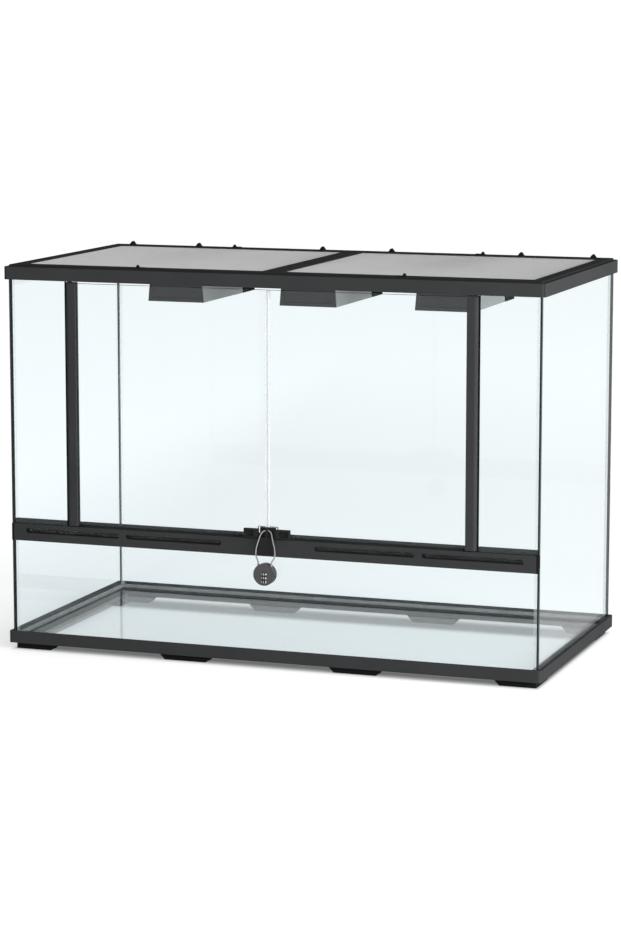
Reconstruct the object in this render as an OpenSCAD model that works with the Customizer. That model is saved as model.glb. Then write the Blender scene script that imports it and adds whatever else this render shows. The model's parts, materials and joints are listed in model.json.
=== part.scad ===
// Glass terrarium: glass walls in a moulded base and top frame, two hinged front doors between fixed
// side lights, a vent rail, two mesh lids, closable cable inlets, lamp hoods and a cable padlock.
// Origin: middle of the footprint, on the surface it stands on. +X right, +Y to the back, +Z up.

/* [Glass] */
// Width over the side panes
glass_w = 900; // [860:10:1200]
// Depth over the front and rear panes
glass_d = 452; // [440:2:600]
// Height of the wall panes
glass_h = 615; // [500:5:900]
// Thickness of the wall panes and the door panes
glass_t = 4; // [3:0.5:5]
// Thickness of the floor pane
floor_t = 5; // [4:0.5:8]
// Thickness of the silicone between two panes
bond_t = 1; // [0.5:0.1:1.5]
// Width of the silicone bead in the inner corners
bead_w = 5; // [3:0.5:7]

/* [Base frame] */
// How far both frames stand out beyond the glass
overhang = 6.5; // [5.5:0.5:9]
// Radius of the frames' upright corners
frame_r = 6; // [2:0.5:8]
// Height of the base frame above its feet
base_h = 19.5; // [14:0.5:40]
// Thickness of the flange that the panes stand on
seat_t = 6; // [4:0.5:9]
// Width of that flange, from the outside of the frame
seat_w = 32; // [20:1:36]
// Clearance between a pane and its groove
pane_fit = 0.3; // [0.1:0.05:0.4]

/* [Feet] */
// Height of the feet
foot_h = 11; // [6:0.5:20]
// How far the feet stand back from the outside of the frame
foot_inset = 10; // [8:0.5:14]
// Width of each foot's pad
foot_d = 26; // [16:1:30]
// Length of a corner foot along the front or rear
corner_foot_w = 71; // [50:1:90]
// Length of a corner foot along the side
corner_foot_d = 77; // [50:1:90]
// Length of a middle foot
middle_foot_w = 92; // [50:1:110]
// Distance of the middle feet from the middle
middle_foot_x = 146; // [80:2:200]
// How far the slanted ends of the feet lean in
foot_slant = 10; // [2:1:15]

/* [Top frame] */
// Height of the top frame's outer face
top_h = 21; // [19:0.5:32]
// Height of the raised lip on top
lip_h = 3; // [2.5:0.25:4.5]
// Radius of the raised lip's corners
lip_r = 3; // [1:0.5:5]
// Thickness of the frame over the top edge of the panes
cap_t = 4; // [3.5:0.25:8]
// Width of the lip along the front and rear
lip_d = 18; // [17.5:0.25:24]
// Width of the lip along the sides
lip_w = 12; // [8:0.5:20]
// Width of the ledge that the lids rest on
ledge_w = 6; // [4:0.5:7]
// Thickness of that ledge
ledge_t = 3; // [2:0.25:5]
// Width of the centre bar between the lids
bar_w = 19; // [12:1:40]
// Depth of the centre bar's rib under the ledge
bar_rib = 4.5; // [3:0.25:5]

/* [Lids] */
// Height of a lid's frame
lid_h = 5.5; // [5:0.1:6]
// Width of a lid frame's rim
lid_rim = 7.5; // [7:0.25:12]
// Clearance round a lid in its recess
lid_gap = 0.5; // [0.3:0.1:0.7]
// Thickness of the mesh panel
mesh_t = 0.8; // [0.5:0.1:1.2]
// How deep the mesh panel is let into the rim
mesh_grip = 3; // [2:0.25:4.5]
// Openings of the panel's plain grid of crossing bars, which stands for its fine woven wire, along each side
grid_count = 10; // [4:1:12]
// Width of a bar of that grid
grid_bar = 4; // [3:0.25:8]
// Distance of the top of the mesh panel below the top of the lid
mesh_sink = 1.6; // [1:0.1:2.2]
// Distance of a lid catch from the end of the outer inlet's groove
catch_inset = 11; // [8:0.5:20]
// Radius of a lid catch's round head
catch_r = 4; // [3.5:0.25:5]
// Reach of a lid catch's tongue from its pin
catch_reach = 13; // [12:0.5:16]
// Thickness of the tongue
catch_t = 1.25; // [1:0.25:2]
// Height of the grip on a lid catch
catch_grip_h = 3.5; // [2:0.25:4]
// Radius of a lid catch's pin
catch_pin_r = 2; // [1.5:0.25:2.5]
// Length of a lid catch's pin
catch_pin_l = 12; // [6:0.5:12]

/* [Cable inlets] */
// Length of an inlet slider
slider_l = 150; // [140:1:156]
// Distance of an outer slider's middle from the end of the lid recess
slider_inset = 83.5; // [80:0.5:100]
// Travel of an inlet slider
slider_travel = 43; // [41:0.5:48]
// Thickness of the slider's base
slider_t = 2; // [1.5:0.25:2.25]
// Width of the slider's base
slider_w = 14.4; // [12:0.4:15.2]
// Width of the slider's ridge
ridge_w = 8.4; // [6:0.4:9.2]
// Distance of a slider's finger peaks from its middle
peak_x = 62.5; // [50:0.5:65]
// Width of a finger peak
peak_w = 11; // [6:0.5:16]
// Height of a finger peak
peak_h = 6; // [3:0.5:10]
// Length of a cable inlet
port_l = 40; // [20:1:40]
// Width of a cable inlet
port_d = 9; // [6:0.5:9.5]
// Wall between a cable inlet and the lid recess
port_wall = 2.5; // [2:0.25:3]

/* [Vent rail] */
// Height of the vent rail's underside
rail_z = 183.5; // [120:0.5:260]
// Height of the vent rail's face
rail_h = 28.2; // [26:0.2:40]
// Depth of the vent rail
rail_d = 14; // [13:0.5:20]
// How far the rail stands out in front of the glass
rail_proud = 2; // [1.5:0.25:2.5]
// Thickness of the rail's walls
rail_wall = 2; // [1:0.25:2.5]
// Height of the rear ridge that the doors close against
ridge_h = 7.8; // [4:0.2:12]
// Thickness of that ridge
ridge_t = 5; // [3:0.25:5.5]
// Gap between that ridge and the panes in front of it
ridge_gap = 0.5; // [0.3:0.1:0.8]
// How deep the lower pane sits in the rail
pane_grip = 8.5; // [5:0.5:9]
// Distance of the vent slots below the top of the rail
slot_drop = 11.2; // [11:0.1:12]
// Length of a vent slot
slot_l = 167; // [100:1:168]
// Height of a vent slot
slot_h = 8; // [4:0.5:9]
// Distance of the middle of an outer vent slot from the end of the rail
slot_inset = 104; // [95:0.1:115]
// Distance from the inner to the outer vent slots
slot_pitch = 178.5; // [176:0.5:182]
// Height of the air chamber behind a vent slot
chamber_h = 11; // [10:0.25:11.5]
// How far an air chamber runs past the ends of its slot
chamber_margin = 3; // [1:0.5:5]
// Thickness of the mesh behind a vent slot
vent_mesh_t = 0.5; // [0.3:0.1:1]
// Length of the rail's end caps
rail_cap_l = 4.3; // [4.3:0.1:5.3]

/* [Doors] */
// Width of the fixed pane beside each door
sidelight_w = 99.8; // [80:0.2:110]
// Thickness of the seal on the edge of that pane
seal_t = 0.6; // [0.4:0.1:0.8]
// Gap between that pane and a door's stile
seal_gap = 1.7; // [1.6:0.1:2.5]
// Radius of a stile's hinge barrel
stile_r = 6; // [5.5:0.25:7]
// Length of a stile's glass channel, from the hinge axis
stile_w = 12; // [10:0.5:18]
// Distance of the glass edge from the hinge axis
stile_web = 4; // [3.5:0.25:6]
// Gap over and under a door's stile
door_gap = 1.8; // [1.6:0.1:3]
// Wall of a stile over and under the glass
stile_end = 1.5; // [1:0.25:3]
// Radius of the hinge pins
pin_r = 2; // [1.5:0.1:2.2]
// Length of a hinge pin inside the stile
pin_l = 15; // [8:1:30]
// Wall of a hinge bush
bush_wall = 1.4; // [1:0.1:1.6]
// Length of a hinge bush below its collar
bush_l = 5; // [3:0.25:5]
// Width of a hinge bush's collar
collar_w = 0.5; // [0.3:0.1:0.6]
// Radial clearance of pins in their bores
run_fit = 0.05; // [0.03:0.01:0.08]
// Gap between the two doors' edge strips
meet_gap = 0.8; // [0.6:0.1:2]
// Thickness of an edge strip's walls
strip_t = 1; // [0.6:0.1:1.2]
// How far an edge strip laps the glass
strip_lap = 2.2; // [1.5:0.1:5]

/* [Handles and catch] */
// Width of a door handle
handle_w = 24.5; // [20:0.5:40]
// Height of a door handle
handle_h = 14.5; // [12:0.5:24]
// Distance of a handle from the middle
handle_x = 14.5; // [14:0.25:18]
// Depth of a handle in front of the glass
handle_d = 6.5; // [5.5:0.25:6.5]
// Depth of the finger hollow in a handle
hollow_d = 3.5; // [2:0.25:3.75]
// Wall round the finger hollow
hollow_wall = 2.5; // [1.5:0.25:3]
// Length of the solid end that the lock hole goes through
handle_ear = 7.5; // [5:0.5:9]
// Radius of the lock hole in a handle
lock_hole_r = 2.2; // [1.5:0.1:2.4]
// Width of the notch in a door pane for the catch block
notch_w = 15; // [14:0.5:16]
// Height of the catch block above the rail
catch_block_h = 18.3; // [16:0.1:24]
// Width of the catch block
catch_block_w = 26; // [18:0.5:26]
// Height of the catch block's plate on the face of the rail
catch_plate_h = 24.7; // [16:0.1:25]
// Thickness of the plate that joins the catch block over the rail
catch_bridge = 3; // [2:0.25:4]
// Width of the staple that the padlock hangs on
staple_w = 3.4; // [3:0.2:8]
// Thickness of the staple, from front to back
staple_d = 6; // [5:0.25:6]
// Height of the staple's hole above the rail
staple_rise = 14.3; // [12:0.1:16]
// Radius of the staple's hole
staple_hole_r = 2; // [1.9:0.05:2.2]
// Wall of the staple over its hole
staple_wall = 3; // [2:0.25:5]
// Length of the closing magnets
magnet_l = 12; // [6:0.5:18]
// Width of the closing magnets
magnet_w = 3; // [2:0.25:3.5]
// Thickness of the closing magnet in a handle
magnet_t = 1; // [0.6:0.1:1.4]

/* [Lamp hoods] */
// Distance between the lamp hoods
hood_pitch = 234; // [150:1:270]
// Width of a hood at its open underside
hood_w = 99.2; // [90:0.2:130]
// Width of a hood at its top
hood_top_w = 89.4; // [86:0.2:92]
// Height of a hood
hood_h = 58; // [52:1:90]
// Length of a hood's sheet-metal shell
hood_l = 182; // [170:1:200]
// Thickness of the sheet metal
hood_t = 1.2; // [0.8:0.1:2]
// Gap between the top of a hood and the lid ledge
hood_gap = 5.5; // [5.25:0.25:10]
// Thickness of a hood's front cap
cap_l = 3; // [2:0.25:6]
// Width of the raised rim on a front cap
cap_rim = 6; // [3:0.5:9]
// Length of a hood's rear box
box_l = 58; // [45:1:70]
// Wall of the rear box
box_t = 2; // [1.5:0.25:3]
// Width of a fixing ear beside the rear box
ear_w = 12; // [10:0.5:16]
// Height of a fixing ear
ear_h = 13; // [11:0.5:14]
// Thickness of a fixing ear
ear_t = 2; // [1.5:0.25:3]
// Distance of the middle hood's screws from the middle inlet
screw_clear = 5.5; // [4:0.5:12]
// Radius of a fixing screw's shank
screw_r = 1.5; // [1:0.1:2]
// Radius of a fixing screw's head
screw_head_r = 3.2; // [2.5:0.1:4]
// Height of a fixing screw's head
screw_head_h = 2; // [1:0.25:3]
// Length of a fixing screw's shank
screw_l = 9; // [6:0.5:11]
// Depth of a lamp's axis below the top of its hood
lamp_drop = 27; // [22:0.5:32]
// Radius of a lampholder
holder_r = 18; // [16:0.5:20]
// Length of a lampholder
holder_l = 28; // [26:0.5:40]
// Thickness of a lampholder's end
holder_wall = 4; // [2:0.5:6]
// Radius of a lamp's screw cap
lamp_cap_r = 13; // [10:0.5:14]
// Length of a lamp's screw cap
lamp_cap_l = 22; // [16:0.5:24]
// Radius of a lamp's body
lamp_body_r = 16; // [13:0.5:18]
// Length of a lamp's body
lamp_body_l = 26; // [16:1:36]
// Radius of a lamp's glass tubes
tube_r = 5; // [3:0.25:5.5]
// Distance of a lamp's tubes from its axis
tube_x = 7.5; // [6:0.25:8]
// Length of a lamp's tubes
tube_l = 84; // [60:1:90]

/* [Padlock] */
// Radius of the padlock's body
lock_r = 17.8; // [17.6:0.2:20]
// Thickness of the front half of the body
lock_front_t = 5.2; // [5:0.1:6]
// Thickness of the rear half of the body
lock_rear_t = 7.6; // [7.6:0.1:8.5]
// Radius of a number dial
dial_r = 6.5; // [6:0.1:6.8]
// Thickness of a number dial
dial_t = 5.2; // [4:0.1:5.4]
// Distance between number dials
dial_pitch = 6.5; // [6.4:0.1:7]
// How far the middle dial sits under the middle of the lock
dial_drop = 5.5; // [4:0.25:6]
// Clearance round a dial
dial_gap = 0.4; // [0.2:0.05:0.5]
// Radius of the dial axle
axle_r = 1.5; // [1:0.1:2]
// Length of the dial axle
axle_l = 20.5; // [20:0.25:21.5]
// Radius of the ferrules that hold the cable
ferrule_r = 2.2; // [1.6:0.1:2.4]
// Length of a ferrule
ferrule_l = 7; // [5:0.5:9]
// How far a ferrule stands out of the lock's body
ferrule_proud = 2.5; // [1:0.25:4]
// Diameter of the steel cable
cable_d = 2.4; // [2:0.1:2.4]

/* [Hidden] */

$fn = 64;
// Overshoot of a cut past the face it opens
cut = 1;

plastic = [0.2, 0.2, 0.2];
dark_plastic = [0.12, 0.12, 0.12];
clear_glass = [0.8, 0.92, 0.94, 0.3];
clear_silicone = [0.85, 0.88, 0.88, 0.6];
steel = [0.72, 0.72, 0.74];
mesh_grey = [0.7, 0.7, 0.7];
hood_grey = [0.6, 0.6, 0.6];
lamp_white = [0.95, 0.95, 0.92];

// Outside of the panes and of the frames
half_w = glass_w / 2;
half_d = glass_d / 2;
frame_x = half_w + overhang;
frame_y = half_d + overhang;
// Inner faces of the wall panes
inner_x = half_w - glass_t;
inner_y = half_d - glass_t;
// Levels, from the ground up
seat_z = foot_h + seat_t;
floor_z = seat_z + floor_t;
base_top = foot_h + base_h;
pane_top = seat_z + glass_h;
rim_z = pane_top + cap_t;
top_z = rim_z - top_h;
lip_z = rim_z + lip_h;
ledge_top = lip_z - lid_h;
ledge_z = ledge_top - ledge_t;
rail_top = rail_z + rail_h;
lower_pane_top = rail_z + pane_grip;
// Recess for the lids
well_x = half_w - lip_w;
well_y = half_d - lip_d;

// Vent rail, from front to back
rail_front = half_d + rail_proud;
rail_rear = rail_front - rail_d;
rail_end = inner_x - pane_fit;
ridge_front = inner_y - ridge_gap;
slot_z = rail_top - slot_drop;
outer_slot_x = rail_end - slot_inset;
inner_slot_x = outer_slot_x - slot_pitch;
vent_xs = [-outer_slot_x, -inner_slot_x, inner_slot_x, outer_slot_x];

// Door hinge axis, which runs up through the middle of the pane's thickness
axis_x = half_w - sidelight_w - seal_gap - stile_r;
axis_y = -(half_d + inner_y) / 2;
stile_z = rail_top + door_gap;
stile_top = top_z - door_gap;
door_z = stile_z + stile_end;
door_top = stile_top - stile_end;
door_edge = meet_gap / 2 + strip_t;
bush_r = pin_r + run_fit + bush_wall;
collar_r = bush_r + collar_w;
collar_gap = 0.3;
// How far a pin stops short of the blind end of its bush
pin_tip = 0.5;

// Catch block and staple
catch_side = catch_block_w / 2;
catch_top = rail_top + catch_block_h;
catch_front = frame_y;
// Gap between the catch block and the doors' panes
pane_clear = 0.5;
notch_top = catch_top + 2 * pane_clear;
staple_z = rail_top + staple_rise;
staple_y = -catch_front + staple_d / 2;
staple_top = staple_z + staple_hole_r + staple_wall;
handle_top = stile_z + handle_h;
handle_front = half_d + handle_d;
lock_hole_z = stile_z + handle_h / 2;
magnet_x = handle_x + handle_w / 2;

// Lid catches and inlet sliders share the middle line of the rear beam
slider_y = half_d - lip_d / 2;
slider_x = well_x - slider_inset;
// Clearance round a slider in its groove, and under it
slider_gap = 0.3;
slider_lift = 0.1;
slider_step = lip_z - lip_h;
slider_z = slider_step - slider_t;
groove_z = slider_z - slider_lift;
groove_end = slider_l / 2 + 0.5;
port_y = well_y + port_wall + port_d / 2;
// A closed slider laps its inlet by this much
port_lap = 1.5;
port_start = slider_l / 2 - port_lap;
catch_y = slider_y;
catch_x = slider_x - groove_end - slider_travel - catch_inset;
// Gap under a catch's head
catch_lift = 0.25;

// Lids, left side
lid_x0 = well_x - lid_gap;
lid_x1 = bar_w / 2 + lid_gap;
lid_y = well_y - lid_gap;
mesh_top = lip_z - mesh_sink;
// Gap between the two layers of the mesh panel's bars
grid_gap = 0.04;

// Lamp hoods
hood_top = ledge_z - hood_gap;
hood_z = hood_top - hood_h;
hood_rear = well_y - box_l;
hood_front = hood_rear - hood_l;
hood_xs = [-hood_pitch, 0, hood_pitch];
ear_z = ledge_z - 1;
outer_screw_x = hood_top_w / 2 + ear_w / 2;
middle_screw_x = port_start + screw_clear;
screw_z = ear_z - ear_h / 2;
lamp_z = hood_top - lamp_drop;
lamp_start = hood_rear - holder_l + lamp_cap_l;

// Right half of the cable's route, seen from the middle of the staple's hole; it ends on a ferrule, and
// the left half is its mirror image
half_route = [
    [0, 0, -0.5], [2.4, 0, -0.55], [5.1, -0.5, -1.4], [7.3, -1.3, -3.1], [8.9, -2.4, -5.5],
    [9.9, -3.6, -8.2], [10.8, -4.7, -11.4], [11.9, -5.4, -15.4], [13.3, -5.9, -20],
    [14.8, -6.3, -25.2], [15.9, -6.7, -30.8], [16.3, -7.2, -36.4], [15.7, -7.9, -41],
    [14.1, -8.8, -45], [12.4, -9.7, -47.8], [11.5, -10.2, -49.8], [11.1, -10.45, -51.4],
    [11, -10.5, -53]
];
half_count = len(half_route);
route_end = half_route[half_count - 1];
cable_route = [
    for (i = [half_count - 1 : -1 : 1]) [-half_route[i][0], half_route[i][1], half_route[i][2]],
    for (i = [0 : half_count - 1]) half_route[i]
];

// Padlock: the two halves of its body meet in the plane of the dial axle and the ferrules
ferrule_x = route_end[0];
ferrule_top = staple_z + route_end[2];
lock_y = staple_y + route_end[1];
lock_z = ferrule_top - ferrule_proud - sqrt(lock_r * lock_r - ferrule_x * ferrule_x);
dials_z = lock_z - dial_drop;
dial_zs = [dials_z + dial_pitch, dials_z, dials_z - dial_pitch];

// Box between two corners
module box(low, high) {
    translate(low) cube(high - low);
}

// Plate with rounded upright corners, centred on the origin
module rounded_plate(w, d, h, r) {
    linear_extrude(h) {
        square([w - 2 * r, d], center = true);
        square([w, d - 2 * r], center = true);
        for (x = [-1, 1], y = [-1, 1])
            translate([x * (w / 2 - r), y * (d / 2 - r)]) circle(r);
    }
}

// Repeats what is at the front left at all four corners
module four_corners() {
    for (x = [0, 1], y = [0, 1])
        mirror([x, 0, 0]) mirror([0, y, 0]) children();
}

// Repeats what is on the left on the right as well
module both_sides() {
    for (x = [0, 1])
        mirror([x, 0, 0]) children();
}

// Outline drawn in X and Z, extruded along Y
module along_y(y0, y1) {
    translate([0, y1, 0]) rotate([90, 0, 0]) linear_extrude(y1 - y0) children();
}

// Round rod along Y, with its axis at x and z
module rod_y(x, z, y0, y1, r) {
    translate([x, y0, z]) rotate([-90, 0, 0]) cylinder(r = r, h = y1 - y0);
}

// Round rod along X, with its axis at y and z
module rod_x(y, z, x0, x1, r) {
    translate([x0, y, z]) rotate([0, 90, 0]) cylinder(r = r, h = x1 - x0);
}

// Base

module base_frame() {
    color(plastic)
    difference() {
        translate([0, 0, foot_h]) rounded_plate(2 * frame_x, 2 * frame_y, base_h, frame_r);
        // Pocket for the panes
        box([-half_w - pane_fit, -half_d - pane_fit, seat_z], [half_w + pane_fit, half_d + pane_fit, base_top + cut]);
        // Opening under the floor pane
        box([-frame_x + seat_w, -frame_y + seat_w, foot_h - cut], [frame_x - seat_w, frame_y - seat_w, seat_z + cut]);
    }
}

// Leg of a corner foot along +X, with its slanted end inwards
module foot_leg(l) {
    along_y(0, foot_d) polygon([[0, 0], [l - foot_slant, 0], [l, foot_h], [0, foot_h]]);
}

module corner_feet() {
    color(dark_plastic)
    four_corners()
        translate([-frame_x + foot_inset, -frame_y + foot_inset, 0]) {
            foot_leg(corner_foot_w);
            mirror([1, -1, 0]) foot_leg(corner_foot_d);
        }
}

module middle_feet() {
    half = middle_foot_w / 2;
    color(dark_plastic)
    four_corners()
        translate([-middle_foot_x, -frame_y + foot_inset, 0])
            along_y(0, foot_d)
                polygon([[-half + foot_slant, 0], [half - foot_slant, 0], [half, foot_h], [-half, foot_h]]);
}

// Panes

module floor_glass() {
    x = inner_x - bond_t;
    y = inner_y - bond_t;
    color(clear_glass) box([-x, -y, seat_z], [x, y, floor_z]);
}

module side_pane() {
    y = inner_y - bond_t;
    color(clear_glass) box([-half_w, -y, seat_z], [-inner_x, y, pane_top]);
}

module left_glass() {
    side_pane();
}

module right_glass() {
    mirror([1, 0, 0]) side_pane();
}

module rear_glass() {
    color(clear_glass) box([-half_w, inner_y, seat_z], [half_w, half_d, pane_top]);
}

module front_lower_glass() {
    color(clear_glass) box([-half_w, -half_d, seat_z], [half_w, -inner_y, lower_pane_top]);
}

module sidelight_pane() {
    color(clear_glass) box([-half_w, -half_d, rail_top], [-half_w + sidelight_w, -inner_y, pane_top]);
}

module left_sidelight_glass() {
    sidelight_pane();
}

module right_sidelight_glass() {
    mirror([1, 0, 0]) sidelight_pane();
}

// Silicone between the edge of a side pane and the pane before it, at the front left
module bond_strip(z0, z1) {
    box([-half_w, -inner_y, z0], [-inner_x, -inner_y + bond_t, z1]);
}

// Bead in the inner corner of the same two panes
module corner_bead(z0, z1) {
    translate([-inner_x, -inner_y, z0]) linear_extrude(z1 - z0) polygon([[0, 0], [bead_w, 0], [0, bead_w]]);
}

module corner_silicone() {
    bead_z = floor_z + bead_w;
    color(clear_silicone) {
        both_sides() {
            // Front corners stop at the vent rail
            bond_strip(seat_z, rail_z);
            corner_bead(bead_z, rail_z);
            bond_strip(rail_top, pane_top);
            corner_bead(rail_top + ridge_h, top_z);
            // Rear corners
            mirror([0, 1, 0]) {
                bond_strip(seat_z, pane_top);
                corner_bead(bead_z, top_z);
            }
        }
    }
}

// Bead along one edge of the floor, from -l to l, against a wall at distance d
module floor_bead(l, d) {
    rotate([90, 0, 90]) translate([0, 0, -l]) linear_extrude(2 * l)
        polygon([[-d, floor_z], [-d + bead_w, floor_z], [-d, floor_z + bead_w]]);
}

module floor_silicone() {
    color(clear_silicone) {
        difference() {
            box([-inner_x, -inner_y, seat_z], [inner_x, inner_y, floor_z]);
            box([-inner_x + bond_t, -inner_y + bond_t, seat_z - cut], [inner_x - bond_t, inner_y - bond_t, floor_z + cut]);
        }
        for (turn = [0, 180]) {
            rotate([0, 0, turn]) floor_bead(inner_x, inner_y);
            rotate([0, 0, turn + 90]) floor_bead(inner_y, inner_x);
        }
    }
}

// Vent rail

module slot_outline(l, h) {
    square([l - h, h], center = true);
    for (x = [-1, 1])
        translate([x * (l - h) / 2, 0]) circle(h / 2);
}

module vent_rail() {
    ridge_clear = stile_w + stile_r;
    color(plastic)
    difference() {
        union() {
            box([-rail_end, -rail_front, rail_z], [rail_end, -rail_rear, rail_top]);
            // Ridge behind the doors
            box([-axis_x + ridge_clear, -ridge_front, rail_z], [axis_x - ridge_clear, -ridge_front + ridge_t, rail_top + ridge_h]);
            // Ridge behind the side lights
            both_sides()
                box([-rail_end, -ridge_front, rail_z], [-half_w + sidelight_w - 1, -ridge_front + ridge_t, rail_top + ridge_h]);
        }
        // Groove for the lower pane
        box([-rail_end - cut, -half_d - pane_fit, rail_z - cut], [rail_end + cut, -inner_y + pane_fit, lower_pane_top + pane_fit]);
        for (x = vent_xs) {
            translate([x, 0, slot_z])
                along_y(-rail_front - cut, -rail_rear + cut) slot_outline(slot_l, slot_h);
            box([x - slot_l / 2 - chamber_margin, -rail_front + rail_wall, slot_z - chamber_h / 2],
                [x + slot_l / 2 + chamber_margin, -rail_rear - rail_wall, slot_z + chamber_h / 2]);
        }
        both_sides() {
            translate([-axis_x, axis_y, rail_top - bush_l]) cylinder(r = bush_r, h = bush_l + cut);
            rail_magnet_shape(cut);
        }
    }
}

module rail_end_caps() {
    color(dark_plastic)
    both_sides()
        difference() {
            box([-rail_end - rail_cap_l, -rail_front, rail_z], [-rail_end, -inner_y + bond_t - pane_fit, rail_top]);
            box([-half_w - pane_fit, -half_d - pane_fit, rail_z - cut], [-rail_end + cut, -inner_y + pane_fit, lower_pane_top + pane_fit]);
        }
}

module vent_mesh_strips() {
    front = rail_front - rail_wall;
    reach = slot_l / 2 + chamber_margin - pane_fit;
    half_h = chamber_h / 2 - pane_fit;
    color(mesh_grey)
    for (x = vent_xs)
        box([x - reach, -front, slot_z - half_h], [x + reach, -front + vent_mesh_t, slot_z + half_h]);
}

// Magnet let into the top of the rail, under the left handle; extra deepens the cut for its pocket
module rail_magnet_shape(extra) {
    box([-magnet_x - magnet_l / 2, axis_y - magnet_w / 2, rail_top - 2 * magnet_t],
        [-magnet_x + magnet_l / 2, axis_y + magnet_w / 2, rail_top + extra]);
}

module rail_magnets() {
    color(steel) both_sides() rail_magnet_shape(0);
}

module catch_block() {
    color(plastic)
    difference() {
        union() {
            // Plate on the face of the rail
            box([-catch_side, -catch_front, rail_top - catch_plate_h], [catch_side, -rail_front, rail_top]);
            // Bridge over the top of the rail
            box([-catch_side, -catch_front, rail_top], [catch_side, -ridge_front - pane_clear / 2, rail_top + catch_bridge]);
            // Block between the two doors
            box([-catch_side, -half_d - pane_clear, rail_top], [catch_side, -ridge_front - pane_clear / 2, catch_top]);
            // Staple
            box([-staple_w / 2, -catch_front, rail_top], [staple_w / 2, -catch_front + staple_d, staple_top]);
        }
        rod_x(staple_y, staple_z, -staple_w, staple_w, staple_hole_r);
    }
}

// Top frame

// Groove in the underside of the top frame for the upper edge of a pane
module pane_groove(x0, y0, x1, y1) {
    box([x0 - pane_fit, y0 - pane_fit, top_z - cut], [x1 + pane_fit, y1 + pane_fit, pane_top + pane_fit]);
}

// Groove and inlet of one cable inlet; the slider opens towards +X
module inlet_cuts(x) {
    x0 = x - groove_end;
    x1 = x + groove_end + slider_travel;
    box([x0, slider_y - slider_w / 2 - slider_gap, groove_z], [x1, slider_y + slider_w / 2 + slider_gap, slider_step + slider_gap]);
    box([x0, slider_y - ridge_w / 2 - slider_gap, groove_z], [x1, slider_y + ridge_w / 2 + slider_gap, lip_z + cut]);
    box([x - port_start, port_y - port_d / 2, top_z - cut], [x - port_start + port_l, port_y + port_d / 2, groove_z + cut]);
}

module top_frame() {
    color(plastic)
    difference() {
        union() {
            translate([0, 0, top_z]) rounded_plate(2 * frame_x, 2 * frame_y, top_h, frame_r);
            translate([0, 0, rim_z]) rounded_plate(2 * half_w, 2 * half_d, lip_h, lip_r);
        }
        // Opening, with the ledge left standing
        box([-well_x, -well_y, top_z - cut], [well_x, well_y, ledge_z]);
        box([-well_x + ledge_w, -well_y + ledge_w, top_z], [well_x - ledge_w, well_y - ledge_w, lip_z]);
        box([-well_x, -well_y, ledge_top], [well_x, well_y, lip_z + cut]);
        // Grooves for the panes; at the front only over the side lights
        pane_groove(-half_w, inner_y, half_w, half_d);
        both_sides() {
            pane_groove(-half_w, -half_d, -inner_x, half_d);
            pane_groove(-half_w, -half_d, -half_w + sidelight_w, -inner_y);
            translate([-axis_x, axis_y, top_z - cut]) cylinder(r = bush_r, h = bush_l + cut);
        }
        four_corners()
            translate([-catch_x, -catch_y, lip_z - catch_pin_l]) cylinder(r = catch_pin_r + run_fit, h = catch_pin_l + cut);
        inlet_cuts(-slider_x);
        inlet_cuts(0);
        mirror([1, 0, 0]) inlet_cuts(-slider_x);
        bracket_screw_places() rod_y(0, 0, well_y - cut, well_y + screw_l, screw_r + run_fit);
    }
}

module centre_bar() {
    x = bar_w / 2;
    y = well_y - ledge_w - pane_fit;
    color(plastic) {
        // Top of the bar, which lies on the ledge at both ends
        box([-x, -well_y, ledge_top], [x, well_y, lip_z]);
        // Rib and the bar's own ledges, between the frame's ledges
        box([-x, -y, ledge_z - bar_rib], [x, y, ledge_top]);
        box([-x - ledge_w, -y, ledge_z], [x + ledge_w, y, ledge_top]);
    }
}

// Bush of one hinge, with its collar towards the door
module hinge_bush() {
    difference() {
        union() {
            translate([0, 0, -bush_l]) cylinder(r = bush_r, h = bush_l);
            cylinder(r = collar_r, h = door_gap - collar_gap);
        }
        translate([0, 0, -bush_l - cut]) cylinder(r = pin_r + run_fit, h = bush_l + door_gap + 2 * cut);
    }
}

module hinge_bushes() {
    color(dark_plastic)
    both_sides() {
        translate([-axis_x, axis_y, rail_top]) hinge_bush();
        translate([-axis_x, axis_y, top_z]) mirror([0, 0, 1]) hinge_bush();
    }
}

module sidelight_seals() {
    x = half_w - sidelight_w;
    color(clear_silicone)
    both_sides() box([-x, -half_d, rail_top], [-x + seal_t, -inner_y, top_z]);
}

// Doors: each module makes the left door's piece, and the right door's is its mirror image

module door_glass() {
    color(clear_glass)
    difference() {
        box([-axis_x + stile_web, -half_d, door_z], [-door_edge, -inner_y, door_top]);
        // Notch for the catch block
        box([-door_edge - notch_w, -half_d - cut, door_z - cut], [cut, -inner_y + cut, notch_top]);
    }
}

module door_stile() {
    color(plastic)
    difference() {
        union() {
            translate([-axis_x, axis_y, stile_z]) cylinder(r = stile_r, h = stile_top - stile_z);
            box([-axis_x, axis_y - stile_r, stile_z], [-axis_x + stile_w, axis_y + stile_r, stile_top]);
        }
        box([-axis_x + stile_web, -half_d, door_z], [-axis_x + stile_w + cut, -inner_y, door_top]);
        translate([-axis_x, axis_y, stile_z - cut]) cylinder(r = pin_r + run_fit, h = pin_l + cut);
        translate([-axis_x, axis_y, stile_top - pin_l]) cylinder(r = pin_r + run_fit, h = pin_l + cut);
    }
}

module door_pins() {
    reach = door_gap + bush_l - pin_tip;
    color(steel)
    translate([-axis_x, axis_y, 0]) {
        translate([0, 0, stile_z - reach]) cylinder(r = pin_r, h = reach + pin_l);
        translate([0, 0, stile_top - pin_l]) cylinder(r = pin_r, h = reach + pin_l);
    }
}

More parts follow.
